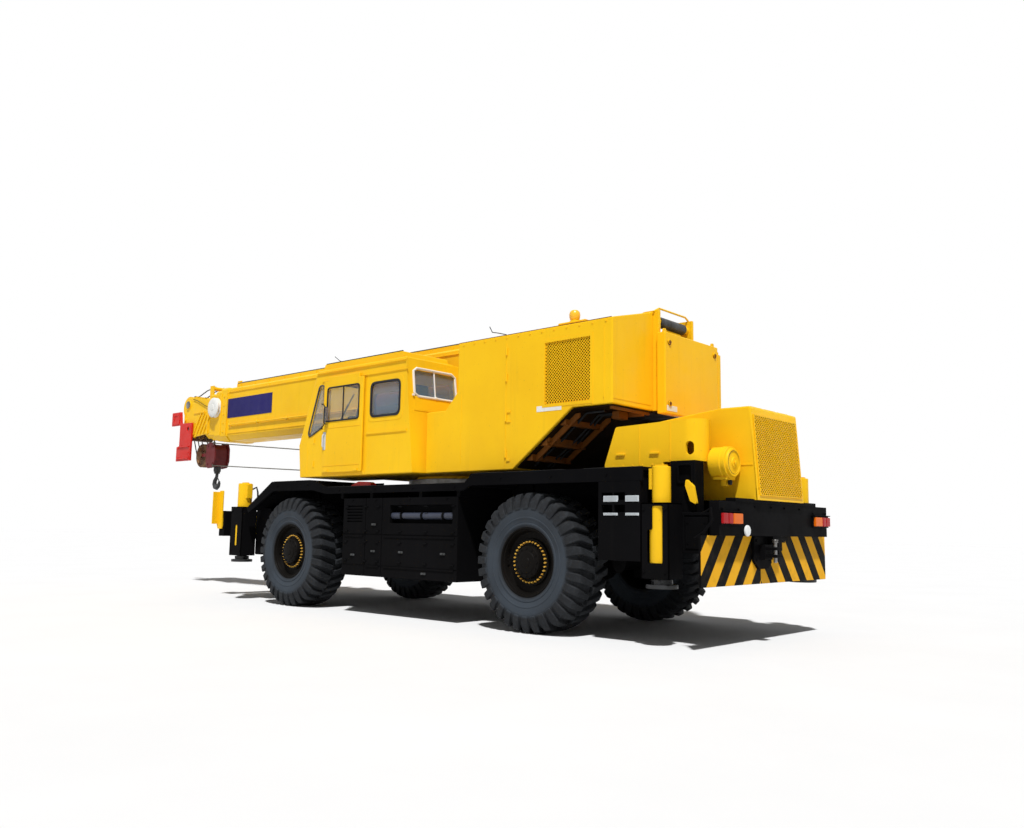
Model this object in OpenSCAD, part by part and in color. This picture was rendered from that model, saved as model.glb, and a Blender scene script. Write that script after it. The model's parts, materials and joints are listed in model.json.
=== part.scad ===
// Rough-terrain mobile crane, four wheels, telescoping boom, stowed for the road.
// Millimetres. X points forward, Y to the left, Z up.
// Stations along X are written from the middle of the wheelbase;
// module at() moves them to the centre of the whole length.

/* [Carrier] */
// distance between the two axles
wheelbase = 4720; // [4640:10:4800]
// distance between the wheel centres of one axle
track = 2360; // [2340:5:2370]
// half width of the frame between the wheels
frame_half = 440; // [420:5:450]
// underside of the frame
frame_z0 = 1050; // [1040:5:1070]
// top of the frame
frame_z1 = 1640; // [1620:5:1650]
// half width over the decks
deck_half = 1450; // [1430:5:1460]
// top of the deck over the wheels
fender_z = 1860; // [1850:5:1870]
// top of the deck between the wheels
deck_z = 1750; // [1735:5:1765]
// rear face of the carrier
rear_x = -4800; // [-4840:10:-4780]

/* [Wheels] */
// tyre diameter over the lugs
tyre_od = 1617; // [1600:1:1630]
// tyre width over the side walls
tyre_w = 597; // [585:1:605]
// bead seat radius
rim_r = 380; // [370:1:390]
// distance of the steering pins from the middle
pin_y = 1000; // [990:5:1010]
// lugs along one side of a tyre
lugs = 24; // [20:4:28]
// height of a lug
lug_h = 46; // [40:1:50]

/* [Engine] */
// half width of the radiator hood
hood_half = 560; // [540:10:580]
// top of the hood at its rear
hood_z = 2500; // [2480:10:2510]
// half width over the engine side covers
cover_half = 1040; // [1000:10:1060]

/* [Outriggers] */
// width of an outrigger beam
beam_w = 270; // [250:5:280]
// height of an outrigger beam
beam_h = 330; // [310:5:340]
// jack tube radius
jack_r = 128; // [120:1:132]
// underside of the floats when stowed
float_z = 600; // [580:10:640]

/* [Upper] */
// slewing axis ahead of the middle of the wheelbase
slew_x = 100; // [80:10:120]
// half width over the machine houses
house_half = 1230; // [1215:5:1240]
// underside of the upper
house_z0 = 1905; // [1900:5:1910]
// top of the machine houses
house_z1 = 3590; // [3560:10:3600]
// rear face of the machine houses
house_x0 = -3420; // [-3440:10:-3400]
// underside of the tail
tail_z = 2600; // [2590:5:2615]
// outer face of the cab
cab_y = 1430; // [1415:5:1435]
// top of the cab roof
cab_z = 3485; // [3460:5:3500]
// thickness of the cab walls
wall = 40; // [36:1:44]

/* [Boom] */
// width of the base section
boom_w = 660; // [650:2:666]
// height of the base section
boom_h = 1010; // [990:5:1020]
// top of the base section
boom_z = 3790; // [3780:5:3800]
// wall of every section
skin = 16; // [12:1:18]
// space between two sections
slip = 18; // [15:1:20]
// front face of the base section
base_x1 = 6450; // [6420:10:6480]
// foremost point of the boom head
tip_x = 8400; // [8380:10:8440]

/* [Hidden] */
$fn = 48;
fit = 0.3;
yellow = "#f8c31e";
black = "#1d1e20";
x_mid = (tip_x + rear_x) / 2;

// wheels and frame
tyre_r = tyre_od / 2;
half_w = tyre_w / 2;
ax_f = wheelbase / 2;
ax_r = -wheelbase / 2;
wheel_y = track / 2;
spindle_r = 70;
frame_in = frame_half - 60;
fender_f = ax_f + 1220;
ring_z = house_z0 - 115;
ring_r = 700;

// outriggers: lead is the front beam's distance from its axle, lag the rear one's from the rear face
lead = 1500;
lag = 690;
out_f = ax_f + lead;
out_r = rear_x + lag;
out_d = beam_w + 60;
out_z = frame_z0 - 40;
jack_y = deck_half - jack_r - 10;
ram_r = jack_r - 44;
box_f = out_f - beam_w / 2 - 45;
box_r = out_r + beam_w / 2 + 45;
box_f1 = box_f + out_d + beam_w + 90;
box_r1 = box_r - out_d - beam_w - 90;
box_top = out_z + beam_h + 45;
box_half = jack_y - jack_r - 14;
front_x = box_f1 + 190;
deck_x0 = box_r - 30;

// upper and boom
slope_e = house_x0 + 580;
slope_x = house_x0 + 1490;
cab_x0 = slope_x + 1600;
cheek = boom_w / 2 + 26;
cheek_t = 45;
side = cheek + cheek_t;
boom_cz = boom_z - boom_h / 2;
boom_z0 = boom_z - boom_h;
foot_x = house_x0 + 470;
foot_z = boom_z - 490;
foot_r = 70;
base_x = slope_x + 880;
base_z = house_z0 + 285;
base_r = 60;
rod_x = base_x + 3450;
rod_z = boom_z0 - 165;
rod_r = 110;
lift_a = atan2(rod_z - base_z, rod_x - base_x);
lift_l = norm([rod_x - base_x, rod_z - base_z]);
collar_gap = 255;
step_in = 2 * (skin + slip);
w2 = boom_w - step_in;
h2 = boom_h - step_in;
w3 = w2 - step_in;
h3 = h2 - step_in;
w4 = w3 - step_in;
h4 = h3 - step_in;
head_x = base_x1 + 1270;
head_z = boom_cz - 190;
top_x = head_x + 120;
top_z = boom_z - 190;
block_x = head_x - 240;
block_z = head_z - 535;
block_r = 235;
sheave = (w4 - 40) / 5;

// hood and covers
hood_zf = hood_z - 130;
hood_front = ax_r - 620;
cover_z0 = fender_z + 72;
cover_x1 = rear_x + 580;
post_z = cover_z0 - fit;

// left machine house
grille_x0 = house_x0 + 310;
grille_z0 = tail_z + 60;
grille_w = 680;
grille_h = 750;
beacon_x = house_x0 + 760;
beacon_y = house_half - 280;

// cab outlines in side view
cab_y0 = side + 20;
cab_f = cab_x0 + 2575;
sill_z = house_z0 + 485;
glaze = 12;
door_y = cab_y + 21;
door_x0 = cab_x0 + 1020;
door_x1 = cab_x0 + 1930;
cab_out = [[cab_f - 55, house_z0], [cab_f, sill_z], [cab_f - 400, cab_z], [cab_x0 + 180, cab_z],
  [cab_x0, house_z0]];
cab_in = [[cab_f - 55 - wall, house_z0 + wall], [cab_f - wall, sill_z],
  [cab_f - 400 - wall * 0.7, cab_z - wall], [cab_x0 + 180 + wall, cab_z - wall],
  [cab_x0 + wall, house_z0 + wall]];
quarter = [[cab_f - 225, sill_z + 100], [cab_f - 475, cab_z - 245], [cab_f - 550, cab_z - 245],
  [cab_f - 610, sill_z + 290]];

module at() {
  translate([-x_mid, 0, 0]) children();
}

module bx(x0, x1, y0, y1, z0, z1) {
  translate([min(x0, x1), min(y0, y1), min(z0, z1)])
    cube([abs(x1 - x0), abs(y1 - y0), abs(z1 - z0)]);
}

module rod_along_x(x0, x1, y, z, r) {
  translate([min(x0, x1), y, z]) rotate([0, 90, 0]) cylinder(h = abs(x1 - x0), r = r);
}

module rod_along_y(x, y0, y1, z, r) {
  translate([x, max(y0, y1), z]) rotate([90, 0, 0]) cylinder(h = abs(y1 - y0), r = r);
}

module rod_along_z(x, y, z0, z1, r) {
  translate([x, y, min(z0, z1)]) cylinder(h = abs(z1 - z0), r = r);
}

// a side view outline, pulled across from y0 to y1
module slab(pts, y0, y1) {
  translate([0, max(y0, y1), 0]) rotate([90, 0, 0])
    linear_extrude(height = abs(y1 - y0)) polygon(pts);
}

// a front view outline, pulled along from x0 to x1
module bar(pts, x0, x1) {
  translate([min(x0, x1), 0, 0]) rotate([90, 0, 90])
    linear_extrude(height = abs(x1 - x0)) polygon(pts);
}

// a box with its four long edges rounded, lying across the machine
module pane(x0, x1, y0, y1, z0, z1, r) {
  bx(x0 + r, x1 - r, y0, y1, z0, z1);
  bx(x0, x1, y0, y1, z0 + r, z1 - r);
  for (x = [x0 + r, x1 - r])
    for (z = [z0 + r, z1 - r]) rod_along_y(x, y0, y1, z, r);
}

// a plate pierced by rows of diamond holes, as wide as w and as tall as h
module mesh_plate(w, h, pitch, strip) {
  nx = floor((w - 2 * strip) / pitch);
  nz = floor((h - 2 * strip) / pitch);
  d = (pitch - strip) / 2;
  difference() {
    square([w, h], center = true);
    for (i = [0 : nx - 1])
      for (j = [0 : nz - 1])
        translate([(i - (nx - 1) / 2) * pitch, (j - (nz - 1) / 2) * pitch])
          polygon([[-d, 0], [0, -d], [d, 0], [0, d]]);
  }
}

// carrier

module rail(s) {
  bx(box_r, box_f, s * frame_in, s * frame_half, frame_z0, frame_z1 - 40);
  bx(rear_x + 140, front_x, s * frame_in, s * frame_half, box_top, frame_z1 - 40);
}

module chassis_frame() {
  color(black) at() difference() {
    union() {
      for (s = [1, -1]) rail(s);
      bx(rear_x + 140, front_x, -frame_half, frame_half, frame_z1 - 40, frame_z1);
      for (x = [ax_r - 900, ax_r + 860, slew_x - 800, slew_x + 800, ax_f - 860, ax_f + 900])
        bx(x - 40, x + 40, -frame_in, frame_in, frame_z0 + 40, frame_z1 - 40);
      rod_along_z(slew_x, 0, frame_z1, ring_z - 10, ring_r + 140);
    }
    rod_along_z(slew_x, 0, frame_z0, ring_z + 10, ring_r - 140);
  }
}

module slew_bearing() {
  color("#6d7074") at() difference() {
    rod_along_z(slew_x, 0, ring_z - 10, ring_z + 75, ring_r + 120);
    rod_along_z(slew_x, 0, ring_z - 20, ring_z + 95, ring_r + fit);
  }
}

module drive_line() {
  color("#2a2b2d") at() {
    bx(slew_x - 800, slew_x + 400, -260, 260, tyre_r - 168, tyre_r + 192);
    bx(slew_x - 760, slew_x + 760, -200, 200, tyre_r + 152, frame_z0 + 130);
    rod_along_x(slew_x + 400, ax_f - 290, 0, tyre_r, 55);
    rod_along_x(ax_r + 290, slew_x - 800, 0, tyre_r, 55);
  }
}

module axle(x) {
  rod_along_y(x, -(pin_y - 120), pin_y - 120, tyre_r, 130);
  translate([x, 0, tyre_r]) sphere(r = 255);
  rod_along_x(x - 290, x + 290, 0, tyre_r, 150);
  for (s = [1, -1]) {
    bx(x - 150, x + 150, s * (frame_half - 110), s * frame_half, tyre_r, frame_z0);
    bx(x - 85, x + 85, s * (pin_y - 130), s * (pin_y - 100), tyre_r - 240, tyre_r + 240);
    for (d = [1, -1]) {
      bx(x - 85, x + 85, s * (pin_y - 130), s * pin_y, tyre_r + d * 192, tyre_r + d * 240);
      rod_along_z(x, s * pin_y, tyre_r + d * 192, tyre_r + d * 240, 85);
    }
  }
}

module axles() {
  color("#262729") at() {
    axle(ax_f);
    axle(ax_r);
  }
}

module deck(s) {
  t = 40;
  top = [[fender_f, fender_z - 403], [fender_f - 680, fender_z], [ax_f - 480, fender_z], [ax_f - 860, deck_z],
    [ax_r + 1030, deck_z], [ax_r + 910, fender_z], [deck_x0, fender_z]];
  low = [[deck_x0, fender_z - t], [ax_r + 945, fender_z - t], [ax_r + 1050, deck_z - t], [ax_f - 850, deck_z - t],
    [ax_f - 470, fender_z - t], [fender_f - 690, fender_z - t], [fender_f - 25, fender_z - 435]];
  lip = [[deck_x0, fender_z - 150], [ax_r + 920, fender_z - 150], [ax_r + 1060, deck_z - 100],
    [ax_f - 860, deck_z - 100], [ax_f - 520, fender_z - 150], [fender_f - 720, fender_z - 150],
    [fender_f - 60, fender_z - 480]];
  slab(concat(top, low), s * (frame_half + 20), s * deck_half);
  slab(concat(top, lip), s * (deck_half - 30), s * deck_half);
  for (x = [ax_r + 1160, slew_x - 600, slew_x + 400, ax_f - 1210])
    bx(x - 30, x + 30, s * frame_half, s * (deck_half - 30), frame_z1 - 60, deck_z - t);
  for (x = [ax_f - 410, ax_f + 640, ax_r + 760])
    bx(x - 30, x + 30, s * frame_half, s * (frame_half + 60), frame_z1 - 150, fender_z - t);
}

module decks() {
  color("#202123") at() difference() {
    for (s = [1, -1]) deck(s);
    rod_along_z(slew_x, 0, frame_z0, fender_z + 10, ring_r + 160);
    bx(rear_x, hood_front + fit, -hood_half - fit, hood_half + fit, frame_z0, hood_z);
  }
}

// panel joints, a louvre and a recess with a pipe in the side lockers
module side_locker(s) {
  x0 = ax_r + 1160;
  x1 = ax_f - 1260;
  z1 = frame_z1 - 60;
  z0 = z1 - 1060;
  y1 = deck_half - 30;
  difference() {
    bx(x0, x1, s * frame_half, s * y1, z0, z1);
    bx(x0 + 30, x1 - 30, s * (frame_half + 30), s * (y1 - 200), z0 + 30, z1 - 30);
    bx(x0 + 100, x0 + 1300, s * (y1 - 130), s * (y1 + 1), z1 - 340, z1 - 100);
    for (x = [x0 + 1450, x0 + 1800]) bx(x, x + 12, s * (y1 - 8), s * (y1 + 1), z0, z1);
    for (z = [z0 + 140, z0 + 560]) bx(x0, x1, s * (y1 - 8), s * (y1 + 1), z, z + 12);
    for (i = [0 : 5])
      bx(x1 - 420, x1 - 80, s * (y1 - 25), s * (y1 + 1), z1 - 330 + i * 42, z1 - 312 + i * 42);
  }
  rod_along_x(x0 + 100, x0 + 1300, s * (y1 - 70), z1 - 240, 42);
}

module step_box(s) {
  x0 = box_r + fit;
  x1 = ax_r - 1030;
  difference() {
    bx(x0, x1, s * (deck_half - 650), s * deck_half, frame_z0 - 180, fender_z - 150);
    bx(x0 + 30, x1 - 30, s * (deck_half - 620), s * (deck_half - 180), frame_z0 - 150, fender_z - 180);
    for (i = [0, 1])
      for (j = [0, 1])
        bx(x0 + 190 + i * 165, x0 + 330 + i * 165, s * (deck_half - 120), s * (deck_half + 1),
          frame_z0 + 330 + j * 130, frame_z0 + 410 + j * 130);
  }
  bx(x0, x1, s * (deck_half - 650), s * (deck_half - 30), fender_z - 150, fender_z - 40);
}

module lockers() {
  color("#1b1c1e") at() for (s = [1, -1]) {
    side_locker(s);
    step_box(s);
  }
}

module outrigger_tube(x, d) {
  x0 = min(x, x + d * out_d) - beam_w / 2 - 45;
  x1 = max(x, x + d * out_d) + beam_w / 2 + 45;
  difference() {
    bx(x0, x1, -box_half, box_half, out_z - 45, box_top);
    for (c = [x, x + d * out_d])
      bx(c - beam_w / 2 - 12, c + beam_w / 2 + 12, -box_half - 30, box_half + 30, out_z - fit,
        out_z + beam_h + 12);
  }
}

// two tubes and the posts that stand behind the rear jacks
module outrigger_boxes() {
  color(black) at() {
    outrigger_tube(out_f, 1);
    outrigger_tube(out_r, -1);
    for (s = [1, -1]) difference() {
      bx(out_r - 285, out_r + 10, s * (deck_half - 510), s * (deck_half - 330), box_top, post_z);
      bx(out_r - 260, out_r - 70, s * (deck_half - 360), s * (deck_half - 329), post_z - 230, post_z - 40);
    }
  }
}

module engine() {
  color("#4a4c4f") at() bx(hood_front - 1170, hood_front - 170, -330, 330, frame_z1, hood_zf - 120);
}

module hood_shape(d, y) {
  slab([[hood_front - d, frame_z1 - 1], [rear_x + d, frame_z1 - 1], [rear_x + d, hood_z - d],
    [rear_x + 420, hood_z - d], [hood_front - d, hood_zf - d]], -y, y);
}

module engine_hood() {
  color(yellow) at() difference() {
    hood_shape(0, hood_half);
    hood_shape(35, hood_half - 35);
    bx(rear_x - 10, rear_x + 60, -hood_half + 70, hood_half - 70, frame_z1 + 60, hood_z - 80);
    bx(rear_x - 10, hood_front + 10, -2000, 2000, frame_z1 - 10, frame_z1);
  }
}

module hood_grille() {
  w = 2 * (hood_half - 70);
  h = hood_z - 80 - frame_z1 - 60;
  color("#c9971f") at() translate([rear_x + 22, 0, frame_z1 + 60 + h / 2]) rotate([90, 0, 90])
    linear_extrude(height = 13) mesh_plate(w, h, 70, 14);
}

module cover_plan(d, s, z0, z1) {
  r = 180;
  bx(hood_front - 200, cover_x1, s * (hood_half - d / 35), s * (cover_half - d), z0, z1);
  rod_along_z(cover_x1, s * (cover_half - r), z0, z1, r - d);
}

module engine_cover(s) {
  xf = hood_front - 200;
  xr = cover_x1 - 200;
  difference() {
    intersection() {
      cover_plan(0, s, cover_z0, hood_z);
      slab([[xf, cover_z0], [xf - 150, hood_zf - 20], [xr, hood_zf + 20], [xr, cover_z0]], 0, s * deck_half);
    }
    intersection() {
      cover_plan(35, s, cover_z0 - 40, hood_z);
      slab([[xf - 45, cover_z0 - 40], [xf - 185, hood_zf - 58], [xr, hood_zf - 18], [xr, cover_z0 - 40]],
        0, s * deck_half);
    }
    for (z = [110, 170])
      rod_along_y(cover_x1 - 60, s * (cover_half - 80), s * (cover_half + 1), cover_z0 + z, 42);
    bx(cover_x1 - 102, cover_x1 - 18, s * (cover_half - 80), s * (cover_half + 1), cover_z0 + 110, cover_z0 + 170);
  }
  bx(deck_x0, xf, s * (cover_half - 35), s * cover_half, fender_z, cover_z0);
  bx(xf - 120, xf - 60, s * hood_half, s * (cover_half - 34), cover_z0 - 20, cover_z0 + 40);
}

module engine_covers() {
  color(yellow) at() {
    engine_cover(1);
    engine_cover(-1);
  }
}

module air_cleaner() {
  y = hood_half + 180;
  z = fender_z + 60;
  x0 = rear_x + 180;
  color(yellow) at() {
    rod_along_x(x0, x0 + 215, y, z, 172);
    rod_along_x(x0 - 18, x0, y, z, 150);
    rod_along_x(x0 - 34, x0 - 18, y, z, 60);
    bx(x0 + 60, x0 + 190, hood_half, y - 80, z - 60, z + 60);
    rod_along_z(x0 + 110, y, z - 250, z - 150, 40);
  }
}

module bumpers() {
  z = frame_z0;
  b = deck_half - 150;
  color(black) at() {
    bx(rear_x + 30, rear_x + 140, -b, b, z + 100, z + 450);
    bx(rear_x + 20, rear_x + 140, -b + 330, b - 330, z + 450, z + 490);
    bx(rear_x + 140, rear_x + 165, -deck_half - 25, deck_half + 25, z - 410, z + 105);
    for (s = [1, -1]) {
      bx(rear_x + 135, box_r1, s * (frame_in - 130), s * frame_in, z + 30, box_top - 20);
      bx(box_f1, front_x, s * (frame_in - 130), s * frame_in, z + 30, box_top - 20);
    }
    bx(rear_x + 40, rear_x + 150, -110, 110, z - 60, z + 110);
    rod_along_z(rear_x + 60, 0, z - 100, z + 60, 38);
    difference() {
      union() {
        bx(front_x, front_x + 160, -b + 50, b - 50, z - 50, z + 370);
        bx(front_x + 160, front_x + 300, -70, 70, z + 80, z + 240);
      }
      rod_along_z(front_x + 240, 0, z + 50, z + 250, 26);
    }
  }
}

// rear lamps in two lenses, round head lamps
module lamps() {
  z = frame_z0 + 275;
  b = deck_half - 150;
  color("#b02018") at() for (s = [1, -1]) {
    bx(rear_x + 5, rear_x + 30, s * (b - 245), s * (b - 15), z - 55, z + 55);
    bx(rear_x + 5, rear_x + 30, s * (b - 440), s * (b - 255), z - 55, z + 55);
    rod_along_x(front_x + 160, front_x + 205, s * (b - 270), z - 105, 95);
  }
}

// wheels

module wheel_place(x, s) {
  at() translate([x, s * wheel_y, tyre_r]) rotate([-90 * s, 0, 0]) children();
}

module carcass() {
  r = tyre_r - lug_h;
  h = half_w;
  rotate_extrude($fn = 72) polygon([[rim_r, -h + 66], [rim_r + 26, -h + 58], [rim_r + 45, -h + 18],
    [tyre_r - 215, -h], [r - 60, -h + 26], [r - 6, -h + 66], [r, -h + 92], [r, h - 92], [r - 6, h - 66],
    [r - 60, h - 26], [tyre_r - 215, h], [rim_r + 45, h - 18], [rim_r + 26, h - 58], [rim_r, h - 66],
    [rim_r, h - 110], [rim_r + 60, h - 66], [tyre_r - 215, h - 50], [tyre_r - 120, h - 90],
    [tyre_r - 95, h - 140], [tyre_r - 95, -h + 140], [tyre_r - 120, -h + 90], [tyre_r - 215, -h + 50],
    [rim_r + 60, -h + 66], [rim_r, -h + 110]]);
}

// one lug: from near the middle of the tread, over the shoulder and down the side wall
module lug(w) {
  r = tyre_r;
  h = half_w;
  rotate([90, 0, 0]) translate([0, 0, -w / 2]) linear_extrude(height = w)
    polygon([[r - 70, 14], [r, 14], [r, h - 80], [r - 14, h - 46], [r - 105, h - 9], [r - 165, h - 3],
      [r - 165, h - 40], [r - 90, h - 120]]);
}

module tyre(x, s) {
  w = 3.1416 * tyre_r / lugs;
  color("#18191a") wheel_place(x, s) {
    carcass();
    for (i = [0 : lugs - 1])
      for (d = [0, 1])
        rotate([0, 0, (i + d / 2) * 360 / lugs]) mirror([0, 0, d]) lug(w * 0.62);
  }
}

module rim(x, s) {
  color("#3a3a38") wheel_place(x, s) difference() {
    union() {
      rotate_extrude() polygon([[rim_r - 38, -half_w + 46], [rim_r + 24, -half_w + 46], [rim_r + 24, -half_w + 56],
        [rim_r, -half_w + 66], [rim_r, half_w - 66], [rim_r + 24, half_w - 56], [rim_r + 24, half_w - 46],
        [rim_r - 38, half_w - 46]]);
      translate([0, 0, 60]) cylinder(h = 28, r = rim_r - 30);
      translate([0, 0, -20]) cylinder(h = 175, r = 185);
      translate([0, 0, 155]) cylinder(h = 45, r = 120);
      for (i = [0 : 19])
        rotate([0, 0, i * 18]) translate([232, 0, 80]) cylinder(h = 34, r = 16, $fn = 16);
    }
    translate([0, 0, -21]) cylinder(h = 111, r = spindle_r + fit);
  }
}

module knuckle(x, s) {
  color("#2d2e30") at() {
    rod_along_z(x, s * pin_y, tyre_r - 192 + fit, tyre_r + 192 - fit, 92);
    rod_along_y(x, s * pin_y, s * (wheel_y + 80), tyre_r, spindle_r);
    rod_along_y(x, s * pin_y, s * (wheel_y - 32), tyre_r, 140);
  }
}

module knuckle_fl() { knuckle(ax_f, 1); }
module knuckle_fr() { knuckle(ax_f, -1); }
module knuckle_rl() { knuckle(ax_r, 1); }
module knuckle_rr() { knuckle(ax_r, -1); }
module rim_fl() { rim(ax_f, 1); }
module rim_fr() { rim(ax_f, -1); }
module rim_rl() { rim(ax_r, 1); }
module rim_rr() { rim(ax_r, -1); }
module tyre_fl() { tyre(ax_f, 1); }
module tyre_fr() { tyre(ax_f, -1); }
module tyre_rl() { tyre(ax_r, 1); }
module tyre_rr() { tyre(ax_r, -1); }

// outriggers

// a black guard round the foot of a jack tube, with a slot in its outer face
module jack_guard(x, s, slot_w, slot_h) {
  g = jack_r + 40;
  y0 = jack_y - jack_r + 2;
  y1 = deck_half - 2;
  z0 = out_z - 310;
  z1 = out_z + 470;
  difference() {
    bx(x - g, x + g, s * y0, s * y1, z0, z1);
    bx(x - g + 14, x + g - 14, s * (y0 - 1), s * (y1 - 14), z0 - 1, z1 - 14);
    bx(x - slot_w / 2, x + slot_w / 2, s * (y1 - 15), s * (y1 + 1), z0 + 160, z0 + 160 + slot_h);
  }
}

module beam(x, s, slot_w, slot_h) {
  end = jack_y - jack_r - 262;
  at() difference() {
    union() {
      color("#e9b51c")
        bx(x - beam_w / 2, x + beam_w / 2, -s * (end + 128), s * (jack_y - 40), out_z, out_z + beam_h);
      color(yellow) rod_along_z(x, s * jack_y, out_z - 210, fender_z, jack_r);
      color(black) jack_guard(x, s, slot_w, slot_h);
    }
    rod_along_z(x, s * jack_y, out_z - 150, fender_z - 30, ram_r + 8);
    rod_along_z(x, s * jack_y, out_z - 220, out_z - 140, ram_r + fit);
    bx(x - beam_w / 2 + 20, x + beam_w / 2 - 20, -s * (end + 138), s * (jack_y - jack_r - 20), out_z + 20,
      out_z + beam_h - 20);
  }
}

module jack(x, s) {
  color("#5d6063") at() {
    rod_along_z(x, s * jack_y, float_z + 50, fender_z - 80, ram_r);
    rod_along_z(x, s * jack_y, float_z + 35, float_z + 90, 110);
    rod_along_z(x, s * jack_y, float_z, float_z + 40, 165);
  }
}

module beam_fl() { beam(out_f, 1, 60, 330); }
module beam_fr() { beam(out_f + out_d, -1, 60, 330); }
module beam_rl() { beam(out_r, 1, 190, 420); }
module beam_rr() { beam(out_r - out_d, -1, 190, 420); }
module jack_fl() { jack(out_f, 1); }
module jack_fr() { jack(out_f + out_d, -1); }
module jack_rl() { jack(out_r, 1); }
module jack_rr() { jack(out_r - out_d, -1); }

// upper

module cheek_plate(s) {
  slab([[slew_x + 1150, house_z0 + 50], [slope_x + 30, house_z0 + 50], [slope_e + 20, tail_z + 25],
    [house_x0 - 80, tail_z + 25], [house_x0 - 80, foot_z + 520], [house_x0 + 130, foot_z + 520],
    [foot_x + 450, foot_z + 260], [foot_x + 1450, foot_z - 240], [slew_x + 150, house_z0 + 715],
    [slew_x + 1150, house_z0 + 425]], s * cheek, s * side);
}

module slewing_frame() {
  color("#e9b51c") at() difference() {
    union() {
      bx(slope_x + 30, slew_x + 1350, -side, side, house_z0, house_z0 + 50);
      slab([[slope_x + 30, house_z0], [slope_e + 10, tail_z], [house_x0 - 80, tail_z], [house_x0 - 80, tail_z + 25],
        [slope_e + 20, tail_z + 25], [slope_x + 30, house_z0 + 50]], -side, side);
      for (s = [1, -1]) {
        cheek_plate(s);
        rod_along_y(foot_x, s * cheek, s * side, foot_z, 150);
        bx(base_x - 150, base_x + 150, s * 165, s * 205, house_z0 + 50, base_z + 60);
        rod_along_y(base_x, s * 165, s * 205, base_z, 150);
      }
      rod_along_y(foot_x, -side, side, foot_z, foot_r);
      rod_along_y(base_x, -200, 200, base_z, base_r);
      rod_along_y(house_x0 + 10, -side, side, foot_z + 400, 50);
      rod_along_z(slew_x, 0, ring_z, house_z0, ring_r);
    }
    rod_along_z(slew_x, 0, ring_z - 1, house_z0 + 60, ring_r - 180);
  }
}

function screen_x(z) = cab_f - (z - sill_z) * 400 / (cab_z - sill_z);

// a slice of the sloping windscreen, from a to b behind its outer face
module windscreen(y0, y1, a, b) {
  zl = sill_z + 80;
  zh = cab_z - 135;
  slab([[screen_x(zl) - a, zl], [screen_x(zh) - a, zh], [screen_x(zh) - b, zh], [screen_x(zl) - b, zl]], y0, y1);
}

module rear_window(y0, y1, a, b) {
  zl = sill_z + 390;
  zh = cab_z - 165;
  lean = 180 / (cab_z - house_z0);
  xl = cab_x0 + (zl - house_z0) * lean;
  xh = cab_x0 + (zh - house_z0) * lean;
  slab([[xl + a, zl], [xl + b, zl], [xh + b, zh], [xh + a, zh]], y0, y1);
}

module side_window(y0, y1) {
  pane(cab_x0 + 240, cab_x0 + 940, y0, y1, cab_z - 825, cab_z - 250, 90);
}

module inner_window(y0, y1) {
  pane(cab_x0 + 330, cab_x0 + 2030, y0, y1, sill_z + 110, cab_z - 235, 80);
}

module cab_body() {
  color(yellow) at() {
    difference() {
      slab(cab_out, cab_y0, cab_y);
      slab(cab_in, cab_y0 + wall, cab_y - wall);
      windscreen(cab_y0 + 90, cab_y - 90, -60, 120);
      slab(quarter, cab_y - wall - 10, cab_y + 10);
      side_window(cab_y - wall - 10, cab_y + 10);
      bx(door_x0 + 50, door_x1 - 50, cab_y - wall - 10, cab_y + 10, house_z0 + 75, cab_z - 205);
      inner_window(cab_y0 - 10, cab_y0 + wall + 10);
      rear_window(cab_y0 + 120, cab_y - 120, -60, 120);
    }
    bx(cab_x0 + 130, cab_x0 + 2030, cab_y - 1, cab_y + 14, cab_z - 173, cab_z - 155);
    bx(cab_x0 + 130, cab_x0 + 970, cab_y - 1, cab_y + 14, sill_z + 80, sill_z + 110);
    bx(cab_x0 + 530, cab_x0 + 1530, cab_y0 - 20, cab_y0, house_z0 + 20, house_z0 + 120);
  }
}

module cab_glass() {
  color("#9fb3b8") at() {
    windscreen(cab_y0 + 90, cab_y - 90, 14, 14 + glaze);
    slab(quarter, cab_y - 26, cab_y - 26 + glaze);
    side_window(cab_y - 26, cab_y - 26 + glaze);
    inner_window(cab_y0 + 14, cab_y0 + 14 + glaze);
    rear_window(cab_y0 + 120, cab_y - 120, 14, 14 + glaze);
  }
}

module cab_seat() {
  f = house_z0 + wall;
  x = cab_x0 + 330;
  y = (cab_y0 + cab_y) / 2;
  color("#2b2b2b") at() {
    bx(x + 250, x + 700, y - 200, y + 200, f, f + 330);
    bx(x + 230, x + 720, y - 235, y + 235, f + 330, f + 450);
    slab([[x + 150, f + 400], [x + 270, f + 400], [x + 190, f + 1080], [x + 90, f + 1080]], y - 215, y + 215);
    bx(x + 1500, x + 1800, y - 280, y + 280, f, f + 720);
    for (s = [1, -1]) bx(x + 760, x + 1050, y + s * 225 - 60, y + s * 225 + 60, f, f + 560);
  }
}

// side outline of a machine house from its front end xf to the tail, d inside its faces
function house_side(xf, z1, d) = [[xf - d, house_z0 + d], [slope_x + d * 0.4, house_z0 + d],
  [slope_e + d * 0.4, tail_z + d], [house_x0 + d, tail_z + d], [house_x0 + d, z1],
  [slope_x + 980 - d, z1], [slope_x + 980 - d, house_z0 + 1045], [slope_x + 1200 - d, house_z0 + 815 - d],
  [xf - d, house_z0 + 815 - d]];

// outline of a house seen from behind: zi beside the boom, zo at the outer edge
function house_back(s, zi, zo, d) = [[s * (side - (d > 0 ? 1 : 0)), house_z0 - 10],
  [s * (side - (d > 0 ? 1 : 0)), zi - d],
  [s * (house_half - 90), (zi - zo) * 90 / (house_half - side) + zo - d],
  [s * (house_half - d), zo - d], [s * (house_half - d), house_z0 - 10]];

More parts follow.
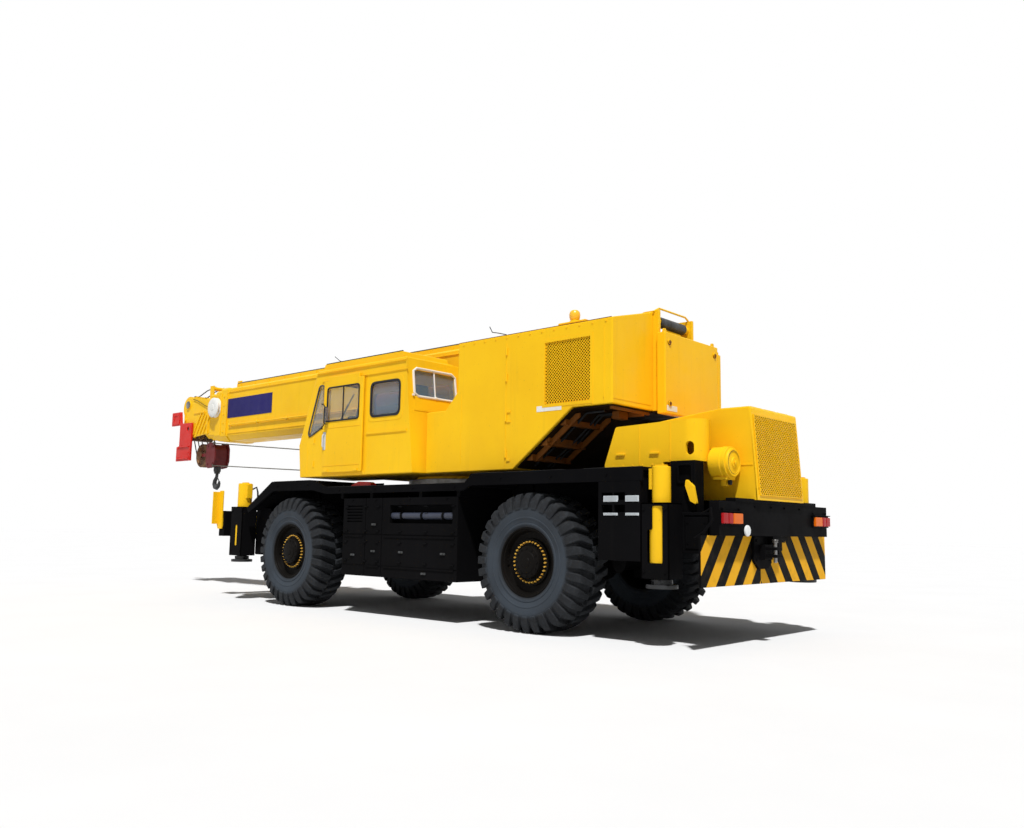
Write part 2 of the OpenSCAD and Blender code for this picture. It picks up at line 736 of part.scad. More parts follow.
module house(s, xf, zi, zo) {
  z1 = max(zi, zo) + 10;
  difference() {
    intersection() {
      slab(house_side(xf, z1, 0), 0, s * house_half);
      bar(house_back(s, zi, zo, 0), house_x0, xf);
    }
    intersection() {
      slab(house_side(xf, z1, 30), 0, s * house_half);
      bar(house_back(s, zi, zo, 30), house_x0, xf);
    }
  }
}

module house_left() {
  color(yellow) at() {
    difference() {
      house(1, cab_x0 - 40, house_z1 + 210, house_z1);
      bx(grille_x0, grille_x0 + grille_w, house_half - 40, house_half + 1, grille_z0, grille_z0 + grille_h);
      for (x = [house_x0 + 120, slope_x + 130])
        bx(x, x + 10, house_half - 6, house_half + 1, tail_z + 40, house_z1 - 90);
    }
    bx(beacon_x - 200, beacon_x + 200, beacon_y - 70, beacon_y + 70, house_z1 + 60, house_z1 + 95);
  }
}

module house_right() {
  color(yellow) at() house(-1, cab_x0 + 1330, house_z1 - 20, house_z1 - 70);
}

module house_grille() {
  color("#b98c1f") at()
    translate([grille_x0 + grille_w / 2, house_half - 8, grille_z0 + grille_h / 2]) rotate([90, 0, 0])
      linear_extrude(height = 10) mesh_plate(grille_w, grille_h, 56, 12);
}

module counterweight() {
  z0 = tail_z - 45;
  z1 = boom_z - 260;
  color(yellow) at() {
    bx(house_x0 - 200, house_x0 - 80, -side - 390, side + 50, z0, z1);
    bx(house_x0 - 80, house_x0, -side - 380, -side, z0 + 55, z1 - 50);
    for (y = [-side - 300, side - 40])
      for (z = [z0 + 120, z1 - 110]) rod_along_x(house_x0 - 212, house_x0 - 200, y, z, 34);
  }
}

module drum(x, z, r, f) {
  rod_along_y(x, -250, 250, z, r);
  for (s = [1, -1]) {
    rod_along_y(x, s * 250, s * 275, z, f);
    rod_along_y(x, s * 275, s * cheek, z, 110);
  }
}

module winches() {
  color("#55585b") at() {
    drum(slope_x + 180, (house_z0 + 50 + boom_z0) / 2, 180, 240);
    drum(house_x0 + 230, tail_z + 250, 150, 195);
  }
}

module upper_fittings() {
  z = house_z1 + 95;
  color("#d8700f") at() {
    rod_along_z(beacon_x, beacon_y, z, z + 40, 58);
    rod_along_z(beacon_x, beacon_y, z + 40, z + 100, 50);
    translate([beacon_x, beacon_y, z + 100]) sphere(r = 50);
  }
}

module door_window(y0, y1) {
  pane(door_x0 + 88, door_x1 - 100, y0, y1, cab_z - 775, cab_z - 295, 45);
}

module cab_door() {
  color(yellow) at() {
    difference() {
      bx(door_x0, door_x1, door_y, door_y + 30, house_z0 + 50, cab_z - 185);
      door_window(door_y - 1, door_y + 31);
    }
    bx(door_x0 + 100, door_x1 - 100, door_y, door_y + 30, cab_z - 185, cab_z - 125);
    bx(door_x0 + 100, door_x1 - 100, cab_y + 6, door_y + 30, cab_z - 155 + fit, cab_z - 125);
  }
}

module door_glass() {
  color("#9fb3b8") at() door_window(door_y + 9, door_y + 21);
}

// boom

module shell_outline(w, h, c) {
  polygon([[-w / 2, h / 2 - 30], [-w / 2 + 30, h / 2], [w / 2 - 30, h / 2], [w / 2, h / 2 - 30], [w / 2, -h / 2 + c],
    [w / 2 - c, -h / 2], [-w / 2 + c, -h / 2], [-w / 2, -h / 2 + c]]);
}

module shell(x0, x1, w, h, c, t) {
  translate([x0, 0, boom_cz]) rotate([90, 0, 90]) linear_extrude(height = x1 - x0) difference() {
    shell_outline(w, h, c);
    shell_outline(w - 2 * t, h - 2 * t, c);
  }
}

// wear pads at the mouth of a section, under and over the next one
module pads(x1, w, h) {
  for (d = [1, -1])
    bx(x1 - 200, x1 - 20, -w / 2 + 140, w / 2 - 140, boom_cz + d * (h / 2 + fit), boom_cz + d * (h / 2 + slip + 4));
}

// a bracket with a rope roller on top of a section
module rope_guide(x, z) {
  for (s = [1, -1]) bx(x - 70, x + 70, s * 150, s * 174, z - 4, boom_z + 150);
  rod_along_y(x, -150, 150, boom_z + 95, 38);
}

// a pipe on brackets along the lower left edge of the base section
module boom_pipe() {
  y = boom_w / 2 + 24;
  z = boom_z0 + 290;
  x0 = foot_x + 3400;
  x1 = base_x1 - 330;
  rod_along_x(x0, x1, y, z, 15);
  for (i = [0 : 6])
    bx(x0 + i * (x1 - x0 - 40) / 6, x0 + 40 + i * (x1 - x0 - 40) / 6, boom_w / 2 - 2, y + 6, z - 30, z + 30);
}

module boom_base() {
  color(yellow) at() difference() {
    union() {
      shell(foot_x + 650, base_x1, boom_w, boom_h, 90, skin);
      shell(base_x1 - 230, base_x1, boom_w + 40, boom_h + 20, 95, skin + 10);
      pads(base_x1, w2, h2);
      rope_guide(base_x1 - 330, boom_z);
      boom_pipe();
      for (s = [1, -1]) {
        slab([[foot_x + 660, boom_z - 120], [foot_x, foot_z + 190], [foot_x, foot_z - 190],
          [foot_x + 660, boom_z0 + 110]], s * (boom_w / 2 - 50), s * boom_w / 2);
        rod_along_y(foot_x, s * (boom_w / 2 - 60), s * boom_w / 2, foot_z, 190);
        slab([[rod_x - 260, boom_z0 + 5], [rod_x - 130, rod_z - 120], [rod_x + 130, rod_z - 120],
          [rod_x + 260, boom_z0 + 5]], s * 150, s * 190);
      }
    }
    rod_along_y(foot_x, -500, 500, foot_z, foot_r + fit);
  }
}

module boom_stage(x0, x1, w, h) {
  shell(x0, x1, w, h, 90, skin);
  shell(x1 - 230, x1, w + 30, h + 30, 95, skin + 15);
}

module boom_second() {
  x1 = base_x1 + collar_gap;
  color(yellow) at() {
    boom_stage(foot_x + 1050, x1, w2, h2);
    pads(x1, w3, h3);
  }
  color("#e8e6df") at() {
    rod_along_y(x1 - 20, w2 / 2 + 15, w2 / 2 + 75, boom_z - 345, 172);
    rod_along_y(x1 - 20, w2 / 2 + 75, w2 / 2 + 88, boom_z - 345, 60);
  }
}

module boom_third() {
  x1 = base_x1 + 2 * collar_gap;
  color(yellow) at() {
    boom_stage(foot_x + 1250, x1, w3, h3);
    pads(x1, w4, h4);
  }
}

module head_plate(s) {
  difference() {
    union() {
      slab([[base_x1 + 560, boom_cz - h4 / 2 + 95], [base_x1 + 560, boom_cz + h4 / 2 - 40],
        [head_x + 110, boom_z - 20], [head_x + 300, boom_z - 180], [head_x + 290, boom_cz - 100],
        [head_x + 190, head_z - 60], [head_x - 120, head_z - 170]], s * (w4 / 2), s * (w4 / 2 + 30));
      rod_along_y(head_x + 110, s * (w4 / 2), s * (w4 / 2 + 30), boom_z - 250, 230);
      rod_along_y(head_x, s * (w4 / 2), s * (w4 / 2 + 50), head_z, 110);
      rod_along_y(top_x, s * (w4 / 2), s * (w4 / 2 + 50), top_z, 90);
    }
    rod_along_y(head_x, -500, 500, head_z, 46);
    rod_along_y(top_x, -500, 500, top_z, 41);
  }
}

module boom_fourth() {
  x1 = base_x1 + 3 * collar_gap;
  color(yellow) at() {
    shell(foot_x + 1450, x1, w4, h4, 90, skin);
    rope_guide(x1 - 85, boom_cz + h4 / 2);
    for (s = [1, -1]) head_plate(s);
  }
}

module head_sheaves() {
  color("#5a4a3c") at() {
    rod_along_y(head_x, -w4 / 2 - 50, w4 / 2 + 50, head_z, 46);
    for (i = [-2 : 2])
      rod_along_y(head_x, (i - 0.35) * sheave, (i + 0.35) * sheave, head_z, block_r + 1 - fit);
    rod_along_y(top_x, -w4 / 2 - 50, w4 / 2 + 50, top_z, 41);
    for (i = [-1, 1]) rod_along_y(top_x, (i * 1.3 - 0.35) * sheave, (i * 1.3 + 0.35) * sheave, top_z, 200);
  }
}

module top_bracket() {
  z = head_z;
  color("#c22a1e") at() difference() {
    slab([[head_x - 130, z - 640], [head_x + 430, z - 640], [head_x + 430, z - 350], [head_x + 330, z - 330],
      [head_x + 330, z + 95], [tip_x, z + 95], [tip_x, z + 370], [head_x + 330, z + 370], [head_x + 290, z + 130],
      [head_x - 130, z + 120]], w4 / 2 + 50, w4 / 2 + 90);
    rod_along_y(head_x, 0, 500, head_z, 46);
  }
}

module fall(y, d) {
  a = atan2(head_x - block_x, head_z - block_z);
  translate([block_x, y, block_z]) rotate([0, a, 0]) translate([d * (block_r + 12), 0, 0])
    cylinder(h = norm([head_x - block_x, head_z - block_z]), r = 11, $fn = 16);
}

// shank, bowl and point of the hook
module hook(x, z) {
  bowl = 112;
  throat = 48;
  t = 36;
  rod_along_z(x + 80, 0, z, z + 260, t);
  difference() {
    rod_along_y(x, -t, t, z, bowl);
    rod_along_y(x, -t - 1, t + 1, z, throat);
    bx(x - bowl - 1, x + throat - 1, -t - 1, t + 1, z + 20, z + bowl + 1);
  }
}

module hook_block() {
  x = block_x;
  z = block_z;
  color("#6d1f1a") at() {
    for (s = [1, -1])
      slab([[x - 520, z - 140], [x - 400, z - 260], [x + 120, z - 260], [x + 280, z - 120], [x + 280, z + 60],
        [x + 120, z + 200], [x - 400, z + 200], [x - 520, z + 80]], s * (1.5 * sheave + 6), s * (1.5 * sheave + 36));
    rod_along_y(x, -1.5 * sheave - 50, 1.5 * sheave + 50, z, 45);
    for (i = [-1 : 1]) rod_along_y(x, (i - 0.35) * sheave, (i + 0.35) * sheave, z, block_r + 1);
    for (i = [-1 : 1])
      for (d = [1, -1]) fall(i * sheave, d);
    bx(x - 400, x - 220, -1.5 * sheave - 8, 1.5 * sheave + 8, z - 240, z - 120);
    rod_along_z(x - 310, 0, z - 330, z - 220, 62);
    hook(x - 388, z - 490);
  }
}

// lift cylinder

module lift_place() {
  at() translate([base_x, 0, base_z]) rotate([0, -lift_a, 0]) children();
}

module lift_barrel() {
  color(yellow) lift_place() difference() {
    union() {
      rotate([0, 90, 0]) translate([0, 0, 120]) cylinder(h = lift_l - 480, r = 160);
      rotate([90, 0, 0]) translate([0, 0, -150]) cylinder(h = 300, r = 150);
      translate([0, -150, -120]) cube([200, 300, 240]);
    }
    rotate([90, 0, 0]) translate([0, 0, -300]) cylinder(h = 600, r = base_r + fit);
    rotate([0, 90, 0]) translate([0, 0, 330]) cylinder(h = lift_l - 780, r = rod_r + 8);
    rotate([0, 90, 0]) translate([0, 0, 330]) cylinder(h = lift_l, r = rod_r + fit);
  }
}

module lift_rod() {
  color("#b9bcc0") lift_place() {
    rotate([0, 90, 0]) translate([0, 0, 400]) cylinder(h = lift_l - 460, r = rod_r);
    translate([lift_l, 0, 0]) rotate([90, 0, 0]) translate([0, 0, -135]) cylinder(h = 270, r = 125);
  }
}

chassis_frame();
drive_line();
axles();
decks();
lockers();
outrigger_boxes();
engine();
engine_hood();
engine_covers();
hood_grille();
air_cleaner();
bumpers();
lamps();
slew_bearing();
knuckle_fl();
knuckle_fr();
knuckle_rl();
knuckle_rr();
rim_fl();
rim_fr();
rim_rl();
rim_rr();
tyre_fl();
tyre_fr();
tyre_rl();
tyre_rr();
beam_fl();
beam_fr();
beam_rl();
beam_rr();
jack_fl();
jack_fr();
jack_rl();
jack_rr();
slewing_frame();
cab_body();
cab_glass();
cab_seat();
house_left();
house_right();
house_grille();
counterweight();
winches();
upper_fittings();
cab_door();
door_glass();
boom_base();
boom_second();
boom_third();
boom_fourth();
head_sheaves();
top_bracket();
hook_block();
lift_barrel();
lift_rod();
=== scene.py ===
import bpy, bmesh, json, math
from mathutils import Vector, Matrix


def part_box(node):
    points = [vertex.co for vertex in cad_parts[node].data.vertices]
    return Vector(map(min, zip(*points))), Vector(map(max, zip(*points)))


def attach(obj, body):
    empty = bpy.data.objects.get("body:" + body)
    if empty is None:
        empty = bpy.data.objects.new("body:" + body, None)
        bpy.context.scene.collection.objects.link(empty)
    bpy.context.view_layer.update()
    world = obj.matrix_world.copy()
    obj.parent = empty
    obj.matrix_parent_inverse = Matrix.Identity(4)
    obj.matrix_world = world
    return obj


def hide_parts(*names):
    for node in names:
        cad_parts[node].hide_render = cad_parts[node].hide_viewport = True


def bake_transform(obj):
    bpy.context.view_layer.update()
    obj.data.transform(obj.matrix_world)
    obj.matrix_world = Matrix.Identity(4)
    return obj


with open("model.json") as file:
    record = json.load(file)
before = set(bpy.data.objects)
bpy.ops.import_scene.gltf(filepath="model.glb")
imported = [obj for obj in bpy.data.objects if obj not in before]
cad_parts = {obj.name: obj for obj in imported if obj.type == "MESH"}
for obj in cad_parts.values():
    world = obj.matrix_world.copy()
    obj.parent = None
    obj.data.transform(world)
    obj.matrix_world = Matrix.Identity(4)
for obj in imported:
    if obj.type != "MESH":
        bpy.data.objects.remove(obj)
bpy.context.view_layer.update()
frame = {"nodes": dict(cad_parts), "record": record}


def centre(node):
    lo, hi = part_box(node)
    return (lo + hi) / 2


# Places are written in metres from the middle of the wheelbase, as in the part's source.
XM = -(centre("rim_fl").x + centre("rim_rl").x) / 2
AXLE = (centre("rim_fl").x - centre("rim_rl").x) / 2
WHEEL_Y = 1.18
TYRE_R = centre("tyre_fl").z
FENDER_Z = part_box("decks")[1].z
DECK_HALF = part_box("decks")[1].y
REAR_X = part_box("engine_hood")[0].x + XM
HOUSE_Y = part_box("house_left")[1].y
HOUSE_X0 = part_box("house_left")[0].x + XM
HOUSE_Z1 = 3.59
CAB_Y = 1.43
CAB_Z = 3.485
BOOM_Z = 3.79
BOOM_Y = 0.33
OUT_R = centre("jack_rl").x + XM
JACK_Y = centre("jack_fl").y
BUMPER_X = REAR_X + 0.03
SIDES = (1, -1)
X, Y, Z = Vector((1, 0, 0)), Vector((0, 1, 0)), Vector((0, 0, 1))
SMOOTH_DEG = 32
SHARP, SHARP_CAD = 0.5, 0.55
WHEELS = {"fl": (1, 1), "fr": (1, -1), "rl": (-1, 1), "rr": (-1, -1)}


def P(x, y, z):
    return Vector((x - XM, y, z))


# camera, solved from points of the machine in the photograph
PHOTO_W, FOCAL_PX = 1024, 901.445
EYE = (-9.2715, 9.3821, 1.1771)
YAW, PITCH, ROLL = -47.926, 7.3195, 0.8951


def camera():
    yaw, pitch, roll = math.radians(YAW), math.radians(PITCH), math.radians(ROLL)
    d = Vector((math.cos(yaw) * math.cos(pitch), math.sin(yaw) * math.cos(pitch), math.sin(pitch)))
    r = d.cross(Z).normalized()
    u = r.cross(d)
    right = math.cos(roll) * r + math.sin(roll) * u
    up = -math.sin(roll) * r + math.cos(roll) * u
    cam = bpy.data.cameras.new("camera")
    cam.sensor_fit = "HORIZONTAL"
    cam.sensor_width = 36
    cam.lens = cam.sensor_width * FOCAL_PX / PHOTO_W
    cam.clip_end = 500
    ob = bpy.data.objects.new("camera", cam)
    m = Matrix((right, up, -d)).transposed().to_4x4()
    m.translation = P(*EYE)
    ob.matrix_world = m
    bpy.context.collection.objects.link(ob)
    bpy.context.scene.camera = ob


# materials
def srgb(r, g, b):
    def linear(c):
        return c / 12.92 if c <= 0.04045 else ((c + 0.055) / 1.055) ** 2.4
    return (linear(r / 255), linear(g / 255), linear(b / 255), 1)


class Mat:
    """a procedural material, built up from its object coordinates"""

    def __init__(self, name, color, rough=0.5, metal=0.0, **sockets):
        self.m = bpy.data.materials.new(name)
        self.m.use_nodes = True
        self.nt = self.m.node_tree
        self.b = self.nt.nodes["Principled BSDF"]
        self.b.inputs["Base Color"].default_value = color
        self.b.inputs["Roughness"].default_value = rough
        self.b.inputs["Metallic"].default_value = metal
        for key, v in sockets.items():
            self.b.inputs[key.replace("_", " ")].default_value = v
        self.co = self.nt.nodes.new("ShaderNodeTexCoord").outputs["Object"]

    def node(self, kind, **settings):
        n = self.nt.nodes.new(kind)
        for key, v in settings.items():
            setattr(n, key, v)
        return n

    def link(self, a, b):
        self.nt.links.new(a, b)

    def put(self, v, socket):
        if hasattr(v, "is_linked"):
            self.link(v, socket)
        else:
            socket.default_value = v

    def noise(self, scale, detail=4, rough=0.6, stretch=None):
        n = self.node("ShaderNodeTexNoise")
        n.inputs["Scale"].default_value = scale
        n.inputs["Detail"].default_value = detail
        n.inputs["Roughness"].default_value = rough
        vec = self.co
        if stretch:
            mp = self.node("ShaderNodeMapping")
            mp.inputs["Scale"].default_value = stretch
            self.link(self.co, mp.inputs["Vector"])
            vec = mp.outputs[0]
        self.link(vec, n.inputs["Vector"])
        return n.outputs[0]

    def mix(self, fac, a, b, mode="MIX"):
        n = self.node("ShaderNodeMix", data_type="RGBA", blend_type=mode)
        for i, v in ((0, fac), (6, a), (7, b)):
            self.put(v, n.inputs[i])
        return n.outputs[2]

    def scaled(self, x, lo, hi, a=0.0, b=1.0):
        n = self.node("ShaderNodeMapRange")
        for i, v in enumerate((lo, hi, a, b)):
            n.inputs[i + 1].default_value = v
        self.link(x, n.inputs[0])
        return n.outputs[0]

    def axis(self, i):
        n = self.node("ShaderNodeSeparateXYZ")
        self.link(self.co, n.inputs[0])
        return n.outputs[i]

    def math(self, op, a, b=0.0):
        n = self.node("ShaderNodeMath", operation=op)
        self.put(a, n.inputs[0])
        self.put(b, n.inputs[1])
        return n.outputs[0]

    def color(self, out):
        self.link(out, self.b.inputs["Base Color"])

    def rough(self, out):
        self.link(out, self.b.inputs["Roughness"])

    def bump(self, h, strength=0.2, dist=0.002):
        n = self.node("ShaderNodeBump")
        n.inputs["Strength"].default_value = strength
        n.inputs["Distance"].default_value = dist
        self.link(h, n.inputs["Height"])
        self.link(n.outputs[0], self.b.inputs["Normal"])


def paint(name, base, dark, dust, rough=0.38, dust_amt=0.35, streak=0.25, gloss=0.3):
    """machine paint: soft fading, rain streaks, specks, and dust low down"""
    m = Mat(name, base, rough, Specular_IOR_Level=gloss)
    fade = m.scaled(m.noise(0.9, 5), 0.35, 0.7)
    c = m.mix(fade, base, dark)
    runs = m.scaled(m.noise(3.2, 5, 0.65, (3.0, 3.0, 0.16)), 0.56, 0.74, 0, streak)
    c = m.mix(runs, c, dust)
    speck = m.scaled(m.noise(34, 3), 0.66, 0.78, 0, 0.4)
    c = m.mix(speck, c, dust)
    low = m.scaled(m.math("ADD", m.axis(2), m.noise(2.0, 4)), 2.4, 0.9, 0, dust_amt)
    c = m.mix(low, c, dust)
    m.color(c)
    m.rough(m.scaled(m.noise(6, 4), 0.3, 0.7, rough - 0.08, rough + 0.16))
    m.bump(m.noise(55, 3), 0.06, 0.002)
    return m.m


def worn_metal(name, base, dark, rough, metal):
    m = Mat(name, base, rough, metal)
    m.color(m.mix(m.scaled(m.noise(7, 5), 0.35, 0.68), base, dark))
    m.rough(m.scaled(m.noise(18, 4), 0.3, 0.7, rough - 0.1, rough + 0.2))
    m.bump(m.noise(60, 4), 0.15, 0.002)
    return m.m


def rubber(name, base, dusty, chalk, amount, ring=None):
    """black rubber with a chalky bloom, which gathers on the side wall where a ring of radii is given"""
    m = Mat(name, base, 0.8, Specular_IOR_Level=0.2)
    c = m.mix(m.scaled(m.noise(3.5, 6), 0.35, 0.7), base, dusty)
    bloom = m.scaled(m.noise(26, 4), 0.5, 0.75, 0, amount)
    if ring:
        r = m.math("SQRT", m.math("ADD", m.math("POWER", m.axis(0), 2.0), m.math("POWER", m.axis(2), 2.0)))
        wall = m.math("MULTIPLY", m.scaled(r, ring[0], ring[0] + 0.04), m.scaled(r, ring[1] + 0.05, ring[1]))
        wall = m.math("MULTIPLY", wall, m.scaled(m.noise(2.2, 5), 0.3, 0.6, 0.45, 0.95))
        bloom = m.math("MAXIMUM", bloom, wall)
    c = m.mix(bloom, c, chalk)
    m.color(c)
    m.rough(m.scaled(m.noise(9, 4), 0.3, 0.7, 0.66, 0.9))
    m.bump(m.noise(70, 5), 0.25, 0.003)
    return m.m


def tread_plate(name, base, worn):
    """raised lozenges on the walkways, worn bright on top"""
    m = Mat(name, base, 0.5, Specular_IOR_Level=0.25)
    lay = m.node("ShaderNodeMapping")
    lay.inputs["Rotation"].default_value = (0, 0, math.radians(45))
    lay.inputs["Scale"].default_value = (1, 0.45, 1)
    m.link(m.co, lay.inputs["Vector"])
    v = m.node("ShaderNodeTexVoronoi", voronoi_dimensions="2D")
    v.inputs["Scale"].default_value = 24
    v.inputs["Randomness"].default_value = 0
    m.link(lay.outputs[0], v.inputs["Vector"])
    lump = m.scaled(v.outputs["Distance"], 0.25, 0.42, 1, 0)
    c = m.mix(m.scaled(m.noise(5, 5), 0.4, 0.7), base, worn)
    m.color(m.mix(m.math("MULTIPLY", lump, 0.35), c, worn))
    m.rough(m.scaled(m.noise(8, 4), 0.3, 0.7, 0.4, 0.65))
    m.bump(lump, 0.5, 0.004)
    return m.m


def chevrons(name, yellow, black):
    """slanting stripes, mirrored about the tow hook"""
    pitch, lean, middle = 0.47, 1.25, 0.22
    m = Mat(name, yellow, 0.45, Specular_IOR_Level=0.03)
    off = m.math("SUBTRACT", m.axis(1), middle)
    v = m.math("ADD", m.axis(2), m.math("MULTIPLY", m.math("ABSOLUTE", off), lean))
    v = m.math("DIVIDE", v, pitch)
    v = m.math("ADD", v, m.math("MULTIPLY", m.math("GREATER_THAN", off, 0.0), 0.5))
    band = m.math("GREATER_THAN", m.math("FRACT", m.math("SUBTRACT", v, 0.45)), 0.5)
    c = m.mix(band, yellow, black)
    c = m.mix(m.scaled(m.noise(9, 5), 0.52, 0.75, 0, 0.22), c, srgb(84, 66, 36))
    m.color(c)
    m.rough(m.scaled(m.noise(8, 4), 0.3, 0.7, 0.38, 0.6))
    return m.m


def rope_strands(name, base, dark):
    """wire rope: strands twisted round the line"""
    m = Mat(name, base, 0.45, 0.7)
    w = m.node("ShaderNodeTexWave", bands_direction="DIAGONAL")
    w.inputs["Scale"].default_value = 30
    m.link(m.co, w.inputs["Vector"])
    m.color(m.mix(w.outputs["Fac"], dark, base))
    m.bump(w.outputs["Fac"], 0.4, 0.003)
    return m.m


# paints: colour, faded colour, dust, then the values of paint() from rough on
PAINTS = {
    "yellow_paint": ((249, 198, 26), (241, 187, 24), (150, 116, 56), 0.36, 0.1, 0.1, 0.14),
    "black_paint": ((16, 16, 18), (11, 11, 12), (34, 32, 30), 0.34, 0.12, 0.12, 0.008),
    "red_paint": ((214, 34, 24), (186, 26, 20), (110, 70, 56), 0.4, 0, 0.2),
    "maroon_paint": ((112, 26, 30), (86, 20, 22), (70, 44, 40), 0.45, 0, 0.4),
    "rim_grey": ((14, 13, 13), (9, 9, 9), (36, 31, 24), 0.42, 0.14, 0.2, 0.04),
    "white_paint": ((236, 236, 232), (220, 220, 214), (150, 146, 136), 0.4, 0, 0.2),
    "blue_paint": ((40, 36, 102), (33, 30, 88), (70, 68, 100), 0.38, 0, 0.15, 0.08),
    # a dark brown of painted shade, for the pan under the tail, the back of the hood's screen and the cores behind both
    # screens
    "underside": ((40, 27, 14), (24, 16, 9), (20, 15, 10), 0.6, 0, 0.3, 0.05),
    # the brown of the yellow paint in shade, painted on the frames under the tail, the line along the roof's edges and
    # the rear plate's bolts
    "shade_brown": ((132, 80, 30), (100, 58, 22), (50, 34, 20), 0.5, 0, 0.4, 0.1),
    "beacon_yellow": ((246, 196, 40), (236, 176, 30), (200, 150, 60), 0.2, 0, 0.1, 0.5),
    "pale_steel": ((206, 212, 216), (184, 190, 194), (130, 128, 120), 0.45, 0.05, 0.2),
    "pipe_blue": ((52, 58, 74), (40, 44, 58), (90, 88, 84), 0.4, 0.1, 0.2),
}
# metals: colour, worn colour, roughness, share of metal
METALS = {
    "bare_steel": ((150, 150, 150), (96, 92, 86), 0.38, 0.85),
    "pad_steel": ((40, 41, 43), (24, 24, 24), 0.45, 0.3),
    "engine_grey": ((70, 72, 74), (40, 40, 39), 0.5, 0.4),
    "sheave_brown": ((126, 92, 56), (70, 48, 32), 0.55, 0.4),
    "nut_gold": ((236, 190, 76), (170, 120, 40), 0.35, 0.3),
}
# lenses: colour and the darker colour of the ribs
LENSES = {
    "lamp_lens": ((178, 16, 24), (132, 10, 12)),
    "amber_lens": ((232, 112, 10), (204, 88, 6)),
    "clear_lens": ((238, 240, 238), (214, 218, 218)),
}
# panes: colour and how much they cover; the blue of the cab's panes is a painted reflection of the sky
PANES = {"cab_glass": ((132, 162, 186), 0.24), "door_glass": ((196, 212, 218), 0.12)}


def materials():
    M = {}
    for name, (base, faded, dust, *rest) in PAINTS.items():
        M[name] = paint(name, srgb(*base), srgb(*faded), srgb(*dust), *rest)
    for name, (base, worn, rough, metal) in METALS.items():
        M[name] = worn_metal(name, srgb(*base), srgb(*worn), rough, metal)
    M["tyre_rubber"] = rubber("tyre_rubber", srgb(26, 27, 29), srgb(36, 38, 41), srgb(57, 64, 72), 0.3, (0.4, 0.59))
    M["seal_rubber"] = rubber("seal_rubber", srgb(30, 31, 34), srgb(44, 46, 49), srgb(80, 80, 82), 0.2)
    M["rope"] = rope_strands("rope", srgb(112, 108, 96), srgb(48, 46, 40))
    M["deck_plate"] = tread_plate("deck_plate", srgb(22, 22, 24), srgb(52, 52, 52))
    M["chevron"] = chevrons("chevron", srgb(232, 172, 40), srgb(13, 13, 13))
    m = Mat("chrome_rod", srgb(214, 216, 220), 0.12, 1.0)
    m.rough(m.scaled(m.noise(30, 3), 0.3, 0.7, 0.08, 0.22))
    M["chrome_rod"] = m.m
    # the cab panes' blue colour is a painted sky reflection
    for name, (tint_and_reflection, cover) in PANES.items():
        m = Mat(name, srgb(*tint_and_reflection), 0.03, 0, Alpha=cover)
        m.rough(m.scaled(m.noise(5, 4), 0.35, 0.7, 0.0, 0.06))
        M[name] = m.m
    m = Mat("seat_black", srgb(34, 34, 36), 0.6)
    m.color(m.mix(m.scaled(m.noise(12, 4), 0.35, 0.7), srgb(34, 34, 36), srgb(52, 51, 50)))
    m.bump(m.noise(160, 3), 0.3, 0.001)
    M["seat_black"] = m.m
    for name, (base, dark) in LENSES.items():
        m = Mat(name, srgb(*base), 0.16, 0, Coat_Weight=0.06, Specular_IOR_Level=0.12)
        rib = m.node("ShaderNodeTexWave", bands_direction="Z")
        rib.inputs["Scale"].default_value = 40
        m.link(m.co, rib.inputs["Vector"])
        m.color(m.mix(m.scaled(rib.outputs["Fac"], 0.2, 0.8, 0, 0.6), srgb(*base), srgb(*dark)))
        m.bump(rib.outputs["Fac"], 0.3, 0.002)
        M[name] = m.m
    return M


# light and floor: the sun's power and direction, and the world's level for what the camera does not see directly
SUN_POWER, SUN_WAY, SUN_DEG = 3.78, (0.335, -0.376, -0.865), 3
WORLD_LEVEL = 0.17
FLOOR_HALF = 120


def stage():
    half = FLOOR_HALF
    me = bpy.data.meshes.new("floor")
    me.from_pydata([(-half, -half, 0), (half, -half, 0), (half, half, 0), (-half, half, 0)], [], [(0, 1, 2, 3)])
    ob = bpy.data.objects.new("floor", me)
    bpy.context.collection.objects.link(ob)
    m = Mat("floor", (0.82, 0.82, 0.82, 1), 0.9, Specular_IOR_Level=0.1)
    m.color(m.mix(m.scaled(m.noise(0.6, 3), 0.3, 0.7), (0.81, 0.81, 0.81, 1), (0.83, 0.83, 0.83, 1)))
    ob.data.materials.append(m.m)
    w = bpy.data.worlds.new("world")
    bpy.context.scene.world = w
    w.use_nodes = True
    nt = w.node_tree
    bg = nt.nodes["Background"]
    bg.inputs[0].default_value = (1, 1, 1, 1)
    path = nt.nodes.new("ShaderNodeLightPath")
    seen = nt.nodes.new("ShaderNodeMath")
    seen.operation = "ADD"
    both = nt.nodes.new("ShaderNodeMath")
    both.operation = "ADD"
    nt.links.new(path.outputs["Is Camera Ray"], seen.inputs[0])
    nt.links.new(path.outputs["Is Glossy Ray"], seen.inputs[1])
    nt.links.new(seen.outputs[0], both.inputs[0])
    nt.links.new(path.outputs["Is Transmission Ray"], both.inputs[1])
    level = nt.nodes.new("ShaderNodeMapRange")
    level.inputs["To Min"].default_value = WORLD_LEVEL
    level.inputs["To Max"].default_value = 1.0
    nt.links.new(both.outputs[0], level.inputs["Value"])
    nt.links.new(level.outputs[0], bg.inputs[1])
    sun = bpy.data.lights.new("key", "SUN")
    sun.energy = SUN_POWER
    sun.angle = math.radians(SUN_DEG)
    ob = bpy.data.objects.new("key", sun)
    ob.rotation_euler = Vector(SUN_WAY).to_track_quat("-Z", "Y").to_euler()
    bpy.context.collection.objects.link(ob)


# shapes
def ring(n, r, start=0):
    """points evenly spaced round a circle"""
    turns = [start + 2 * math.pi * i / n for i in range(n)]
    return [(r * math.cos(a), r * math.sin(a)) for a in turns]


